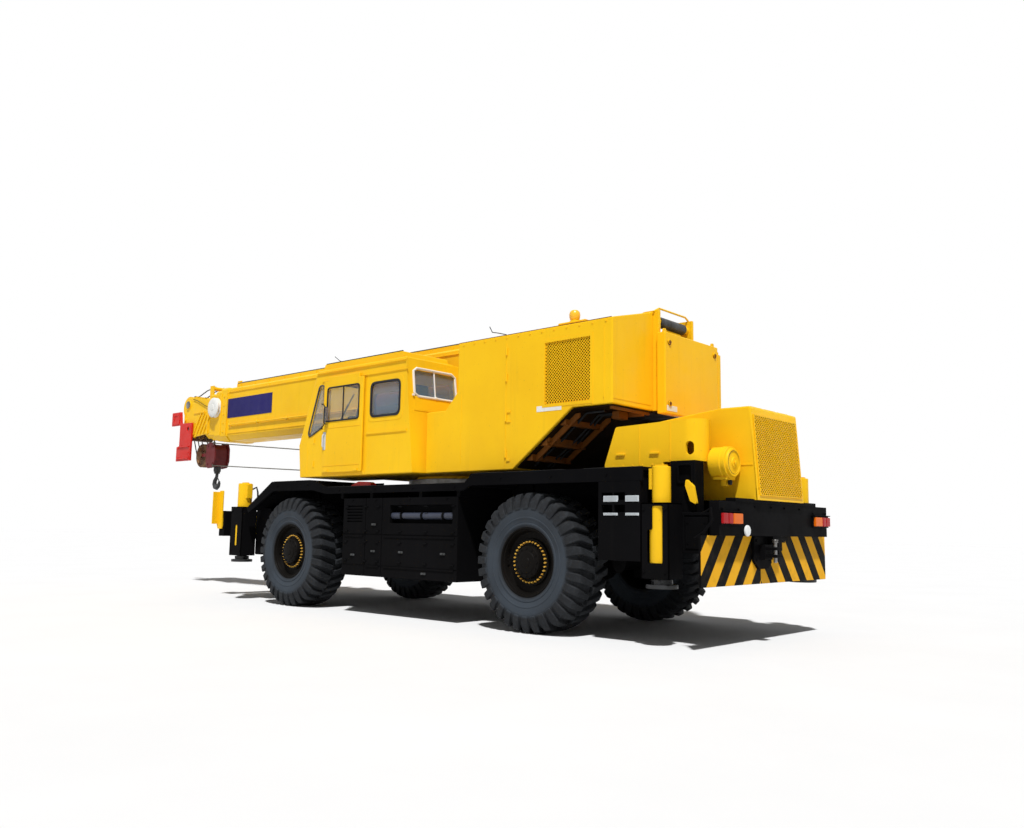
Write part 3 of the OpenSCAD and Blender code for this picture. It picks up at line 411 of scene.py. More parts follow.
class Kit:
    """collects solids into one piece after another on a body, in the source's stations"""

    LAY = {"x": lambda u, v, w: (w, u, v), "y": lambda u, v, w: (u, w, v), "z": lambda u, v, w: (u, v, w)}

    def __init__(self, body=None):
        self.body = body
        self.bm = bmesh.new()

    def take(self, part, bevel=0.0, seg=2):
        bmesh.ops.recalc_face_normals(part, faces=part.faces)
        if bevel:
            sharp = [e for e in part.edges if len(e.link_faces) == 2 and e.calc_face_angle() > SHARP]
            bmesh.ops.bevel(part, geom=sharp, offset=bevel, segments=seg, profile=0.5, affect="EDGES",
                            clamp_overlap=True)
        me = bpy.data.meshes.new("part")
        part.to_mesh(me)
        part.free()
        self.bm.from_mesh(me)
        bpy.data.meshes.remove(me)
        return self

    def prism(self, pts, axis, a, b, bevel=0.0, seg=2):
        part = bmesh.new()
        lay = self.LAY[axis]
        low = [part.verts.new(lay(u, v, a)) for u, v in pts]
        high = [part.verts.new(lay(u, v, b)) for u, v in pts]
        part.faces.new(low)
        part.faces.new(high[::-1])
        n = len(pts)
        for i in range(n):
            part.faces.new((low[i], low[(i + 1) % n], high[(i + 1) % n], high[i]))
        return self.take(part, bevel, seg)

    def block(self, x0, x1, y0, y1, z0, z1, bevel=0.004):
        return self.prism(box_outline(x0, x1, y0, y1), "z", z0, z1, bevel)

    def pair(self, x0, x1, y0, y1, z0, z1, bevel=0.004):
        """the same block on the left and on the right"""
        for s in SIDES:
            self.block(x0, x1, s * y0, s * y1, z0, z1, bevel)

    def panel(self, outer, holes, axis, a, b, bevel=0.0):
        """a plate from a to b along axis, with holes through it"""
        part = bmesh.new()
        lay = self.LAY[axis]
        edges = []
        for ring in [outer] + holes:
            vs = [part.verts.new(lay(u, v, a)) for u, v in ring]
            edges += [part.edges.new((vs[i - 1], vs[i])) for i in range(len(vs))]
        bmesh.ops.triangle_fill(part, use_beauty=True, use_dissolve=False, edges=edges)
        faces = part.faces[:]
        out = bmesh.ops.extrude_face_region(part, geom=faces)
        moved = [g for g in out["geom"] if isinstance(g, bmesh.types.BMVert)]
        bmesh.ops.translate(part, vec=Vector(lay(0, 0, b - a)), verts=moved)
        return self.take(part, bevel)

    def lathe(self, profile, at, axis, n=48):
        """a profile of radius and height, turned about an axis through a point"""
        part = bmesh.new()
        turn = Z.rotation_difference(Vector(axis)).to_matrix()
        rings = []
        for r, h in profile:
            count = 1 if r < 1e-6 else n
            rings.append([part.verts.new(Vector(at) + turn @ Vector((u, v, h))) for u, v in ring(n, r)[:count]])
        for a, b in zip(rings, rings[1:]):
            for i in range(n):
                vs = [a[i % len(a)], a[(i + 1) % len(a)], b[(i + 1) % len(b)], b[i % len(b)]]
                face = list(dict.fromkeys(vs))
                if len(face) > 2:
                    part.faces.new(face)
        return self.take(part)

    def rod(self, p, q, r, n=20, chamfer=0.0):
        p, q = Vector(p), Vector(q)
        d = (q - p).length
        c = min(chamfer, d / 3, r / 2)
        return self.lathe([(0, 0), (r - c, 0), (r, c), (r, d - c), (r - c, d), (0, d)], p, q - p, n)

    def loft(self, rings, closed=False):
        """a skin over rings of points, capped unless the last ring joins the first"""
        part = bmesh.new()
        rings = [[part.verts.new(p) for p in points] for points in rings]
        n = len(rings[0])
        for a, b in zip(rings, rings[1:] + rings[:1] if closed else rings[1:]):
            for k in range(n):
                part.faces.new((a[k], a[(k + 1) % n], b[(k + 1) % n], b[k]))
        if not closed:
            part.faces.new(rings[0])
            part.faces.new(rings[-1])
        return self.take(part)

    def tube(self, path, r, n=10, closed=False):
        """a round bar along a path of points"""
        pts = [Vector(p) for p in path]
        count = len(pts)
        side = None
        rings = []
        for i, p in enumerate(pts):
            before = pts[i - 1] if i or closed else p
            after = pts[(i + 1) % count] if i < count - 1 or closed else p
            t = (after - before).normalized()
            if side is None:
                side = t.orthogonal().normalized()
            side = (side - t * side.dot(t)).normalized()
            up = t.cross(side)
            rings.append([p + r * (u * side + v * up) for u, v in ring(n, 1)])
        return self.loft(rings, closed)

    def bolt(self, at, axis, r=0.014, h=0.012):
        """a washer and a six-sided head"""
        a = Vector(axis).normalized()
        self.lathe([(0, 0), (r * 1.5, 0), (r * 1.5, h * 0.25), (0, h * 0.25)], at, a, 16)
        return self.lathe([(0, 0), (r, 0), (r, h * 0.85), (r * 0.85, h), (0, h)], Vector(at), a, 6)

    def mesh(self, name):
        me = bpy.data.meshes.new(name)
        self.bm.to_mesh(me)
        self.bm.free()
        self.bm = bmesh.new()
        return me

    def done(self, name, mat, replaces=(), body=None):
        bmesh.ops.translate(self.bm, vec=(-XM, 0, 0), verts=self.bm.verts)
        placed(name, self.mesh(name), body or self.body, mat, replaces)


def placed(name, me, body, mat, replaces=(), at=None):
    """a mesh as a piece that rides the body that is named, or else stays fixed where it is built"""
    me.polygons.foreach_set("use_smooth", [True] * len(me.polygons))
    me.set_sharp_from_angle(angle=math.radians(SMOOTH_DEG))
    me.materials.clear()
    me.materials.append(MATS[mat])
    ob = bpy.data.objects.new(name, me)
    bpy.context.collection.objects.link(ob)
    ob.modifiers.new("normals", "WEIGHTED_NORMAL").keep_sharp = True
    if at:
        ob.matrix_world = at
    if isinstance(body, str):
        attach(ob, body)
    else:
        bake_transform(ob)
    if replaces:
        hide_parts(*replaces)


def dressed(node, body, bevel, mat):
    """a CAD solid with its long edges broken, in place of the plain one"""
    bm = bmesh.new()
    bm.from_mesh(frame["nodes"][node].data)
    bmesh.ops.remove_doubles(bm, verts=bm.verts, dist=1e-5)
    bmesh.ops.dissolve_limit(bm, angle_limit=math.radians(0.5), verts=bm.verts, edges=bm.edges)
    bmesh.ops.recalc_face_normals(bm, faces=bm.faces)
    room = {v: min(e.calc_length() for e in v.link_edges) > 2.4 * bevel for v in bm.verts}
    sharp = [e for e in bm.edges if len(e.link_faces) == 2 and e.calc_face_angle() > SHARP_CAD
             and room[e.verts[0]] and room[e.verts[1]]]
    bmesh.ops.bevel(bm, geom=sharp, offset=bevel, segments=2, profile=0.5, affect="EDGES", clamp_overlap=False)
    me = bpy.data.meshes.new(node + "_dressed")
    bm.to_mesh(me)
    bm.free()
    placed(node + "_dressed", me, body, mat, (node,))


def rounded(pts, r, n=5):
    """an outline with its corners rounded"""
    out = []
    count = len(pts)
    for i, p in enumerate(pts):
        p = Vector(p)
        a, b = Vector(pts[i - 1]) - p, Vector(pts[(i + 1) % count]) - p
        t = r / math.tan(a.angle(b) / 2)
        t = min(t, 0.45 * a.length, 0.45 * b.length)
        s, e = p + a.normalized() * t, p + b.normalized() * t
        for k in range(n + 1):
            f = k / n
            out.append(tuple((1 - f) ** 2 * s + 2 * f * (1 - f) * p + f * f * e))
    return out


def box_outline(u0, u1, v0, v1):
    return [(u0, v0), (u1, v0), (u1, v1), (u0, v1)]


RECORD = frame["record"]
BODY = {n: body for body, nodes in RECORD["behaviour"]["bodies"].items() for n in nodes}
SLOT = {sp["node"]: sp["material_slot"] for sp in RECORD["subparts"]}


# wheels
def tyre_mesh():
    """a carcass with ribbed side walls, and two rows of staggered lugs that run down the shoulders"""
    lugs = 32
    k = Kit()
    half = [(0.388, 0.225), (0.402, 0.258), (0.425, 0.268), (0.431, 0.276), (0.447, 0.277), (0.453, 0.27),
            (0.5, 0.281), (0.506, 0.286), (0.516, 0.287), (0.522, 0.283), (0.57, 0.289), (0.62, 0.285),
            (0.68, 0.268), (0.728, 0.24), (0.752, 0.205), (0.76, 0.1)]
    outer = [(r, -h) for r, h in half] + [(r, h) for r, h in half[::-1]]
    k.lathe(outer + outer[:1], (0, 0, 0), Y, 96)
    # across the tread: width position, outer radius, inner radius, inner position, turn in degrees, breadth
    stations = [(0.012, 0.8085, 0.74, 0.012, 5.0, 0.062), (0.1, 0.8085, 0.74, 0.1, 3.4, 0.07),
                (0.19, 0.8075, 0.73, 0.18, 1.2, 0.08), (0.24, 0.796, 0.72, 0.2, 0.2, 0.086),
                (0.266, 0.765, 0.7, 0.22, 0, 0.09), (0.29, 0.69, 0.66, 0.24, 0, 0.086),
                (0.297, 0.615, 0.6, 0.262, 0, 0.074)]
    for side in (1, -1):
        for i in range(lugs):
            turn = (i + (0.5 if side < 0 else 0)) * 2 * math.pi / lugs
            part = bmesh.new()
            rows = []
            for h, r, rb, hb, deg, w in stations:
                row = []
                for radius, across, u in ((rb, hb, -0.56), (r, h, -0.5), (r, h, 0.5), (rb, hb, 0.56)):
                    a = turn + math.radians(deg) + u * w / radius
                    row.append(part.verts.new((radius * math.cos(a), side * across, radius * math.sin(a))))
                rows.append(row)
            for a, b in zip(rows, rows[1:]):
                for j in range(3):
                    part.faces.new((a[j], a[j + 1], b[j + 1], b[j]))
            part.faces.new(rows[0])
            part.faces.new(rows[-1])
            k.take(part, 0.007, 1)
    return k.mesh("tyre")


def rim_mesh():
    """flange, lock ring, dished disc, final drive and hub cap"""
    k = Kit()
    out = [(0.404, 0.238), (0.406, 0.252), (0.398, 0.262), (0.386, 0.262), (0.378, 0.25), (0.377, 0.238),
           (0.368, 0.234), (0.362, 0.222), (0.354, 0.19), (0.345, 0.168), (0.33, 0.16), (0.276, 0.16),
           (0.268, 0.186), (0.192, 0.186), (0.188, 0.232), (0.178, 0.25), (0.15, 0.258), (0.128, 0.26),
           (0.124, 0.266), (0.112, 0.272), (0.06, 0.274), (0.055, 0.28), (0.036, 0.282), (0, 0.282)]
    inn = [(0, -0.02), (0.18, -0.02), (0.2, 0.04), (0.33, 0.04), (0.352, -0.1), (0.362, -0.222),
           (0.378, -0.25), (0.398, -0.262), (0.404, -0.238), (0.384, -0.22), (0.384, 0.22)]
    k.lathe(inn + out, (0, 0, 0), Y, 72)
    for u, v in ring(12, 0.155):
        k.bolt((u, 0.257, v), Y, 0.009, 0.01)
    k.tube([(0.3, 0.158, 0.02), (0.31, 0.18, 0.02), (0.32, 0.226, 0.02)], 0.008)
    return k.mesh("rim")


def nut_mesh():
    k = Kit()
    nut = [(0, 0), (0.0125, 0), (0.0125, 0.018), (0.01, 0.022), (0.007, 0.022), (0.007, 0.032), (0, 0.034)]
    for u, v in ring(32, 0.233):
        k.lathe(nut, (u, 0.186, v), Y, 6)
    return k.mesh("wheel_nuts")


def wheels():
    meshes = {"tyre": (tyre_mesh(), "tyre_rubber"), "rim": (rim_mesh(), "rim_grey"),
              "wheel_nuts": (nut_mesh(), "nut_gold")}
    for w, (fx, s) in WHEELS.items():
        place = Matrix.Translation(P(fx * AXLE, s * WHEEL_Y, TYRE_R)) @ Matrix.Rotation(0 if s > 0 else math.pi, 4, "Z")
        for name, (me, mat) in meshes.items():
            node = name + "_" + w
            placed(node + "_built", me, "wheel_" + w, mat, (node,) if node in SLOT else (), place)


# solids that keep their form, with their edges broken
def dressed_solids():
    wide = {"engine_hood": 0.022, "engine_covers": 0.018, "house_left": 0.014, "house_right": 0.014,
            "counterweight": 0.014, "cab_body": 0.012, "boom_base": 0.008, "cab_door": 0.007}
    built = ("hood_grille", "house_grille", "lamps", "cab_glass", "door_glass", "hook_block", "head_sheaves",
             "air_cleaner", "upper_fittings", "cab_seat", "lift_rod", "winches")
    for node, slot in SLOT.items():
        kind = node.split("_")[0]
        if node in built or kind in ("tyre", "rim", "beam"):
            continue
        dressed(node, BODY[node], wide.get(node, 0.005), "pad_steel" if kind == "jack" else slot)


def outrigger_beams():
    """yellow beam and jack tube, and the black guard round its foot"""
    z0, z1, out_z, out_top = 0.7, 1.48, 1.01, 1.34
    beam, guard, sheet, top = 0.135, 0.168, 0.014, FENDER_Z
    for w, (fx, s) in WHEELS.items():
        lo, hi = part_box("beam_" + w)
        x = (lo.x + hi.x) / 2 + XM
        y = s * JACK_Y
        inner, outer = s * (JACK_Y - 0.126), s * (DECK_HALF - 0.002)
        k = Kit("outrigger_" + w)
        k.block(x - beam, x + beam, -s * 1.06, s * (JACK_Y - 0.04), out_z, out_top, 0.006)
        r = 0.112 if fx > 0 else 0.098
        k.lathe([(0.092, out_z - 0.21), (0.122, out_z - 0.21), (0.128, out_z - 0.204), (0.128, z1 - 0.03),
                 (r, z1 - 0.01), (r, top - 0.006), (r - 0.006, top), (0, top)], (x, y, 0), Z, 40)
        k.block(x - fx * (r - 0.01), x - fx * (r + 0.03), y - 0.05, y + 0.05, top - 0.24, top - 0.02, 0.006)
        k.block(x - 0.06, x + 0.06, y - 0.03, y + 0.03, top - 0.002, top + 0.018)
        k.done("beam_" + w + "_built", "yellow_paint", replaces=("beam_" + w,))
        slot = box_outline(x - 0.03, x + 0.03, z0 + 0.16, z0 + 0.49)
        if fx < 0:
            slot = [(x - 0.095, z0 + 0.16), (x + 0.095, z0 + 0.16), (x + 0.095, z0 + 0.5), (x + 0.035, z0 + 0.5),
                    (x + 0.035, z0 + 0.745), (x - 0.095, z0 + 0.745)]
        k.panel(box_outline(x - guard, x + guard, z0, z1), [rounded(slot, 0.02)], "y", outer, outer - s * sheet, 0.003)
        k.panel(box_outline(x - guard, x + guard, min(inner, outer), max(inner, outer)),
                [[(x + 0.13 * u, y + 0.124 * v) for u, v in ring(24, 1)]], "z", z1 - sheet, z1)
        tail = -s * 1.18
        k.block(x - beam, x + beam, tail, tail + s * 0.122, out_z, out_top, 0.006)
        for d in SIDES:
            k.block(x + d * 0.154, x + d * guard, inner, outer, z0, z1, 0.003)
            for z in (z0 + 0.07, z1 - 0.07):
                k.bolt((x + d * 0.13, outer, z), s * Y, 0.012)
            for z in (out_z + 0.06, out_z + 0.27):
                k.bolt((x + d * 0.1, tail, z), -s * Y, 0.012, 0.006)
        k.done("guard_" + w, "black_paint")
        near = x - fx * 0.1
        k.tube([(x - fx * (r + 0.01), y - s * 0.045, top - 0.1), (near - fx * 0.07, y - s * 0.1, top - 0.06),
                (near - fx * 0.11, y - s * 0.1, top - 0.14), (near - fx * 0.1, y - s * 0.12, z1 + 0.02),
                (near - fx * 0.05, y - s * 0.12, z1 - 0.03)], 0.014)
        k.done("jack_hose_" + w, "seal_rubber")


# carrier
def mesh_screen(k, u0, u1, v0, v1, axis, a, b, pitch, bar):
    """diagonal strands both ways, clipped to a rectangle"""
    span = (u1 - u0) + (v1 - v0)
    count = int(span / pitch)
    for lean in (1, -1):
        for i in range(1, count):
            c = i * pitch
            lo, hi = max(0, c - (v1 - v0)), min(u1 - u0, c)
            if hi - lo < bar:
                continue
            p, q = (u0 + lo, v0 + c - lo), (u0 + hi, v0 + c - hi)
            if lean < 0:
                p, q = (u0 + u1 - p[0], p[1]), (u0 + u1 - q[0], q[1])
            d = Vector((q[0] - p[0], q[1] - p[1])).normalized().orthogonal() * bar / 2
            shift = (b - a) * 0.5 if lean > 0 else 0
            k.prism([(p[0] + d.x, p[1] + d.y), (q[0] + d.x, q[1] + d.y), (q[0] - d.x, q[1] - d.y),
                     (p[0] - d.x, p[1] - d.y)], axis, a + shift, a + shift + (b - a) * 0.5)
    k.panel(box_outline(u0, u1, v0, v1), [box_outline(u0 + bar, u1 - bar, v0 + bar, v1 - bar)], axis, a, b)


# the hood's rear face leans: its foot stands further back than its top edge
HOOD_FOOT, HOOD_TOP, HOOD_RISE = 1.53, 2.54, 0.04
FOOT_BACK, TOP_IN = 0.02, 0.055


def leaning(verts):
    for v in verts:
        v.co.x += (TOP_IN + FOOT_BACK) * (v.co.z - HOOD_FOOT) / (HOOD_TOP - HOOD_FOOT) - FOOT_BACK


def engine_bay():
    lo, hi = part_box("hood_grille")
    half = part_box("engine_hood")[1].y
    x = lo.x + XM
    shell = bpy.data.objects["engine_hood_dressed"].data.vertices
    for v in shell:
        if v.co.x + XM < REAR_X + 0.43 and v.co.z > HOOD_TOP - 0.1:
            v.co.z += HOOD_RISE
    leaning([v for v in shell if v.co.x + XM < REAR_X + 0.1])
    k = Kit("carrier")
    mesh_screen(k, lo.y - 0.026, hi.y + 0.026, HOOD_FOOT + 0.05, hi.z + 0.03, "x", REAR_X - 0.014, REAR_X - 0.002,
                0.044, 0.0105)
    leaning(k.bm.verts)
    k.done("hood_screen", "yellow_paint", replaces=("hood_grille",))
    # the frame behind the hood's screen is drawn in the dark brown of painted shade
    k.panel(box_outline(lo.y - 0.022, hi.y + 0.022, HOOD_FOOT + 0.056, hi.z + 0.026),
            [box_outline(lo.y, hi.y, lo.z, hi.z)], "x", REAR_X - 0.003, REAR_X + 0.001)
    leaning(k.bm.verts)
    k.done("hood_screen_back", "underside")
    skirt_z = HOOD_FOOT + 0.135
    k.block(REAR_X, REAR_X + 0.02, -half, half, HOOD_FOOT, skirt_z)
    k.pair(REAR_X + 0.004, -3.0, half - 0.014, half, HOOD_FOOT, skirt_z)
    leaning(k.bm.verts)
    k.done("hood_skirt", "yellow_paint")
    # the radiator core behind the screen is drawn in the dark brown of painted shade
    k.block(x + 0.05, x + 0.11, lo.y - 0.02, hi.y + 0.02, lo.z - 0.02, hi.z + 0.02)
    fins = 24
    for i in range(fins):
        z = lo.z + (i + 0.5) * (hi.z - lo.z) / fins
        k.block(x + 0.044, x + 0.05, lo.y, hi.y, z - 0.004, z + 0.004, 0)
    k.done("radiator_core", "underside")

    # hinges and ribs on the hood's top, joints and catches on its sides
    hz, nose_x, nose_z, rib_x, fold = HOOD_TOP, -2.98, 2.37, -3.55, REAR_X + 0.42
    drop = (hz - nose_z) * (rib_x - fold) / (nose_x - fold)
    for y in (-0.3, 0.02, 0.34):
        k.block(REAR_X + 0.09, REAR_X + 0.13, y - 0.13, y + 0.13, hz - 0.002, hz + 0.008, 0.003)
    rib = [(fold + 0.02, hz - 0.012), (rib_x, hz - drop - 0.006), (rib_x, hz - drop + 0.01), (fold + 0.02, hz + 0.008)]
    for i in range(7):
        k.prism(rib, "y", -0.36 + i * 0.11, -0.345 + i * 0.11, 0.003)
    k.pair(REAR_X + 0.03, -3.05, half, half + 0.006, 1.9, 1.915, 0.002)
    k.pair(-3.62, -3.6, half, half + 0.006, 1.93, 2.4, 0.002)
    k.block(REAR_X + 0.1, fold, -0.012, 0.012, hz - 0.012, hz + 0.004, 0.002)
    k.done("hood_trim", "yellow_paint")
    for x in (-4.55, -3.85, -3.3):
        k.pair(x - 0.05, x + 0.05, half + 0.002, half + 0.018, 1.975, 2.005)
    k.done("hood_catches", "black_paint")

    # side covers: seams, catches and bolts
    for side, s in (("left", 1), ("right", -1)):
        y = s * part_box("engine_covers")[1].y
        for x, z0, z1 in ((-3.655, 0.05, 2.34), (-4.05, 0.09, 2.36)):
            k.block(x, x + 0.01, y - s * 0.002, y + s * 0.005, FENDER_Z + z0, z1, 0.002)
        for x in (-3.4, -3.85):
            k.block(x - 0.06, x + 0.06, y, y + s * 0.02, 2.02, 2.045, 0.006)
        for i in range(6):
            k.bolt((-3.3 - i * 0.13, y, FENDER_Z + 0.045), s * Y, 0.009, 0.008)
        k.done("cover_trim_" + side, "yellow_paint")


def air_cleaner():
    lo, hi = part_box("air_cleaner")
    x0, x1 = lo.x + XM, hi.x + XM
    y, z = 0.74, FENDER_Z + 0.06
    k = Kit("carrier")
    body = [(0, 0), (0.052, 0.0), (0.056, 0.012), (0.12, 0.016), (0.128, 0.008), (0.146, 0.008), (0.152, 0.018),
            (0.152, 0.034), (0.172, 0.036), (0.174, 0.046), (0.172, 0.052), (0.17, 0.09), (0.175, 0.094),
            (0.175, 0.112), (0.17, 0.116), (0.17, x1 - x0 - 0.02), (0.15, x1 - x0), (0, x1 - x0)]
    k.lathe(body, (x0, y, z), X, 56)
    k.lathe([(0, 0), (0.02, 0), (0.024, -0.012), (0.01, -0.016), (0, -0.016)], (x0, y, z), X, 12)
    k.tube([(x1 - 0.04, y - 0.05, z + 0.05), (x1 + 0.1, y - 0.06, z + 0.08), (x1 + 0.18, y - 0.1, z + 0.14)], 0.07, 20)
    k.block(x0 + 0.06, x0 + 0.19, 0.555, y - 0.1, z - 0.05, z + 0.05, 0.006)
    k.block(x0 + 0.05, x0 + 0.21, y - 0.1, y + 0.1, z - 0.185, z - 0.15, 0.006)
    k.block(x0 + 0.09, x0 + 0.15, y - 0.03, y + 0.03, z - 0.25, z - 0.16, 0.006)
    k.done("air_cleaner_built", "yellow_paint", replaces=("air_cleaner",))
    k.lathe([(0, 0), (0.02, 0), (0.026, 0.03), (0.018, 0.05), (0, 0.05)], (x0 + 0.06, y, z - 0.235), Z, 16)
    k.rod((x1 + 0.12, y - 0.07, z + 0.09), (x1 + 0.15, y - 0.08, z + 0.112), 0.078, 24)
    # a dark ring filling the end cap's groove: painted shade in the groove
    k.lathe([(0.121, 0), (0.127, -0.005), (0.127, -0.011), (0.121, -0.014)], (x0 + 0.022, y, z), X, 48)
    k.done("air_cleaner_valve_and_groove_shade", "seal_rubber")


def rear_end():
    """striped board, tow hook, lamps and hoses of the rear bumper"""
    k = Kit("carrier")
    k.block(REAR_X + 0.137, REAR_X + 0.1402, -1.474, 1.474, 0.642, 1.153, 0.001)
    k.done("striped_board", "chevron")
    x, tow_y = REAR_X + 0.134, 0.22
    k.prism(rounded([(0.02, 0.86), (0.1, 0.8), (0.32, 0.8), (0.42, 0.88), (0.42, 1.15), (0.02, 1.15)], 0.02), "x",
            x - 0.03, x, 0.004)
    k.block(x - 0.1, x - 0.02, 0.13, 0.31, 0.9, 1.06, 0.008)
    for z in (0.94, 1.02):
        k.block(x - 0.22, x - 0.09, 0.15, 0.29, z - 0.016, z + 0.016, 0.006)
    for y in (0.07, 0.37):
        for z in (0.9, 1.1):
            k.bolt((x - 0.03, y, z), -X)
    k.done("tow_bracket", "black_paint")
    x -= 0.17
    k.rod((x, tow_y, 0.87), (x, tow_y, 1.09), 0.02, 16, 0.004)
    k.lathe([(0, 0), (0.032, 0), (0.032, 0.012), (0, 0.012)], (x, tow_y, 1.085), Z, 20)
    k.tube([(x + u, tow_y + v, 1.11) for u, v in ring(16, 0.03)], 0.005, 8, True)
    k.done("tow_pin", "bare_steel")

    x = BUMPER_X
    for y0, y1 in ((1.19, 1.295), (1.09, 1.18)):
        k.pair(x - 0.048, x - 0.012, y0, y1, 1.272, 1.378, 0.008)
    k.done("tail_lamps_red", "lamp_lens", replaces=("lamps",))
    k.pair(x - 0.048, x - 0.012, 0.885, 1.075, 1.272, 1.378, 0.008)
    k.done("tail_lamps_amber", "amber_lens")
    k.pair(x - 0.022, x + 0.004, 0.87, 1.3, 1.258, 1.392)
    k.pair(x - 0.046, x, 0.86, 1.3, 1.392, 1.402, 0.002)
    for s in SIDES:
        for lift, y, z in ((0.004, 0.9, 1.42), (0.004, 1.24, 1.42), (0, 0.16, 1.46), (0, 0.54, 1.46)):
            k.bolt((x - lift, s * y, z), -X, 0.01)
    k.done("tail_lamp_shells", "black_paint")
    k.lathe([(0, 0), (0.05, 0), (0.058, 0.008), (0.058, 0.02), (0.052, 0.026), (0, 0.03)], (x + 0.002, 0.735, 1.205),
            -X, 32)
    k.done("reversing_lamp", "clear_lens")
    for y in (-0.62, 1.37):
        k.tube([(x + 0.16, y, 1.36), (x + 0.05, y, 1.42), (x + 0.02, y + 0.03, 1.3), (x + 0.1, y + 0.06, 1.18),
                (x + 0.2, y + 0.06, 1.12)], 0.014)
    k.done("rear_hoses", "black_paint")


def front_end():
    """head lamps, and the corner plates with their lamps"""
    lamps = [(4.724, s * 1.03, 1.22) for s in SIDES]
    k = Kit("carrier")
    for at in lamps:
        k.lathe([(0, 0), (0.09, 0), (0.09, 0.03), (0.06, 0.04), (0, 0.046)], at, X, 40)
    k.done("head_lamps", "clear_lens")
    for at in lamps:
        k.lathe([(0.09, 0), (0.104, 0.004), (0.106, 0.036), (0.098, 0.044), (0.09, 0.04)], at, X, 40)
    k.done("head_lamp_rings", "chrome_rod")
    corner = rounded([(4.6, 1.12), (4.73, 1.12), (4.76, 1.2), (4.76, 1.68), (4.7, 1.76), (4.6, 1.76)], 0.02)
    for s in SIDES:
        k.prism(corner, "y", s * 1.255, s * 1.275, 0.003)
        k.prism(box_outline(4.71, 4.73, 1.2, 1.74), "y", s * 1.25, s * 1.39, 0.004)
    k.pair(4.6, 4.72, 1.2, 1.257, 1.15, 1.3)
    k.done("corner_plates", "yellow_paint")
    k.pair(4.73, 4.775, 1.285, 1.365, 1.34, 1.56, 0.01)
    k.done("corner_lamps", "amber_lens")


def carrier_sides():
    """step treads, well plates, pipe, strips, catches and walkways of the black decks and lockers"""
    k = Kit("carrier")
    y = DECK_HALF - 0.012
    for x0, x1 in ((-3.65, -3.462), (-3.92, -3.748)):
        for z0, z1, rows in ((1.492, 1.556, 5), (1.346, 1.374, 2)):
            k.pair(x0, x1, y, y + 0.016, z0, z1, 0.003)
            for t in range(rows):
                z = z0 + 0.008 + t * 0.012
                k.pair(x0 + 0.012, x1 - 0.012, y + 0.016, y + 0.021, z, z + 0.005, 0)
    k.done("step_treads", "pale_steel")
    for x0, x1 in ((-2.95, -1.25), (1.4, 3.5)):
        k.pair(x0, x1, 0.446, 0.456, 1.58, FENDER_Z - 0.008, 0.002)
    k.pair(3.3, 3.69, 0.95, 1.17, 1.38, 1.4, 0.003)
    well = rounded([(3.3, 1.46), (3.7, 1.46), (3.7, 0.72), (3.42, 0.72), (3.3, 1.0)], 0.03)
    for s in SIDES:
        k.prism(well, "y", s * 1.165, s * 1.178, 0.003)
    k.done("wheel_well_plates", "black_paint")

    face, pipe_z = DECK_HALF - 0.03, 1.34
    pipe_y = face - 0.068
    for s in SIDES:
        k.rod((-1.13, s * pipe_y, pipe_z), (0.12, s * pipe_y, pipe_z), 0.046, 24)
    k.done("locker_pipe", "pipe_blue")
    for x0, x1, z in ((-1.15, 0.2, 0.655), (0.3, 0.56, 0.655), (-1.15, 0.2, 1.06), (0.65, 1.05, 1.06)):
        k.pair(x0, x1, face, face + 0.012, z - 0.012, z + 0.012, 0.003)
    for s in SIDES:
        for x in (-0.9, -0.5, -0.1):
            k.rod((x - 0.02, s * pipe_y, pipe_z), (x + 0.02, s * pipe_y, pipe_z), 0.055, 24, 0.004)
        for x in (-1.12, -0.62, -0.12, 0.34, 0.6, 1.02):
            for z in (0.72, 0.98, 1.13, 1.46):
                k.rod((x - 0.03, s * (face + 0.006), z), (x + 0.03, s * (face + 0.006), z), 0.011, 10)
        for x in (-1.0, -0.3, 0.4, 0.9):
            k.bolt((x, s * face, 1.555), s * Y, 0.011)
        for i in range(9):
            x = -3.5 + i * 0.78
            k.bolt((x, s * DECK_HALF, FENDER_Z - (0.075 if abs(x) > 1.6 else 0.16)), s * Y, 0.01)
    k.done("locker_strips", "black_paint")
    for x, z in ((-0.95, 0.86), (-0.15, 0.86), (0.42, 0.86), (0.86, 0.8), (-0.6, 0.6), (0.42, 1.22)):
        k.pair(x - 0.045, x + 0.045, face, face + 0.016, z - 0.014, z + 0.014, 0.005)
        for s in SIDES:
            k.rod((x, s * (face + 0.014), z), (x, s * (face + 0.026), z), 0.01, 12, 0.003)
    k.done("locker_catches", "engine_grey")
    for x0, x1, y, z in ((-3.93, -3.18, 0.7, FENDER_Z), (-2.9, -1.5, 0.9, FENDER_Z), (1.92, 2.86, 0.6, FENDER_Z),
                         (-1.3, 1.46, 0.95, 1.75)):
        k.pair(x0, x1, y, DECK_HALF - 0.01, z, z + 0.004, 0.001)
    k.done("walkway_plates", "deck_plate")

    # lock handle of the house, frames on the rear posts, lock lever
    k.prism(rounded([(0.62, 1.752), (1.06, 1.752), (1.06, 1.772), (0.9, 1.822), (0.68, 1.812), (0.62, 1.785)], 0.012),
            "y", 1.24, 1.34, 0.005)
    k.done("house_lock_handle", "red_paint")
    x = OUT_R - 0.15
    for s in SIDES:
        k.panel(rounded(box_outline(x - 0.115, x + 0.075, 1.69, 1.9), 0.02),
                [rounded(box_outline(x - 0.095, x + 0.055, 1.71, 1.88), 0.02)], "y", s * 1.115, s * 1.135, 0.003)
    k.done("post_frames", "black_paint")
    k.prism(rounded([(-4.44, 1.46), (-4.36, 1.5), (-4.3, 1.66), (-4.31, 1.74), (-4.4, 1.66)], 0.02), "y",
            1.125, 1.165, 0.006)
    k.done("lock_lever", "yellow_paint")


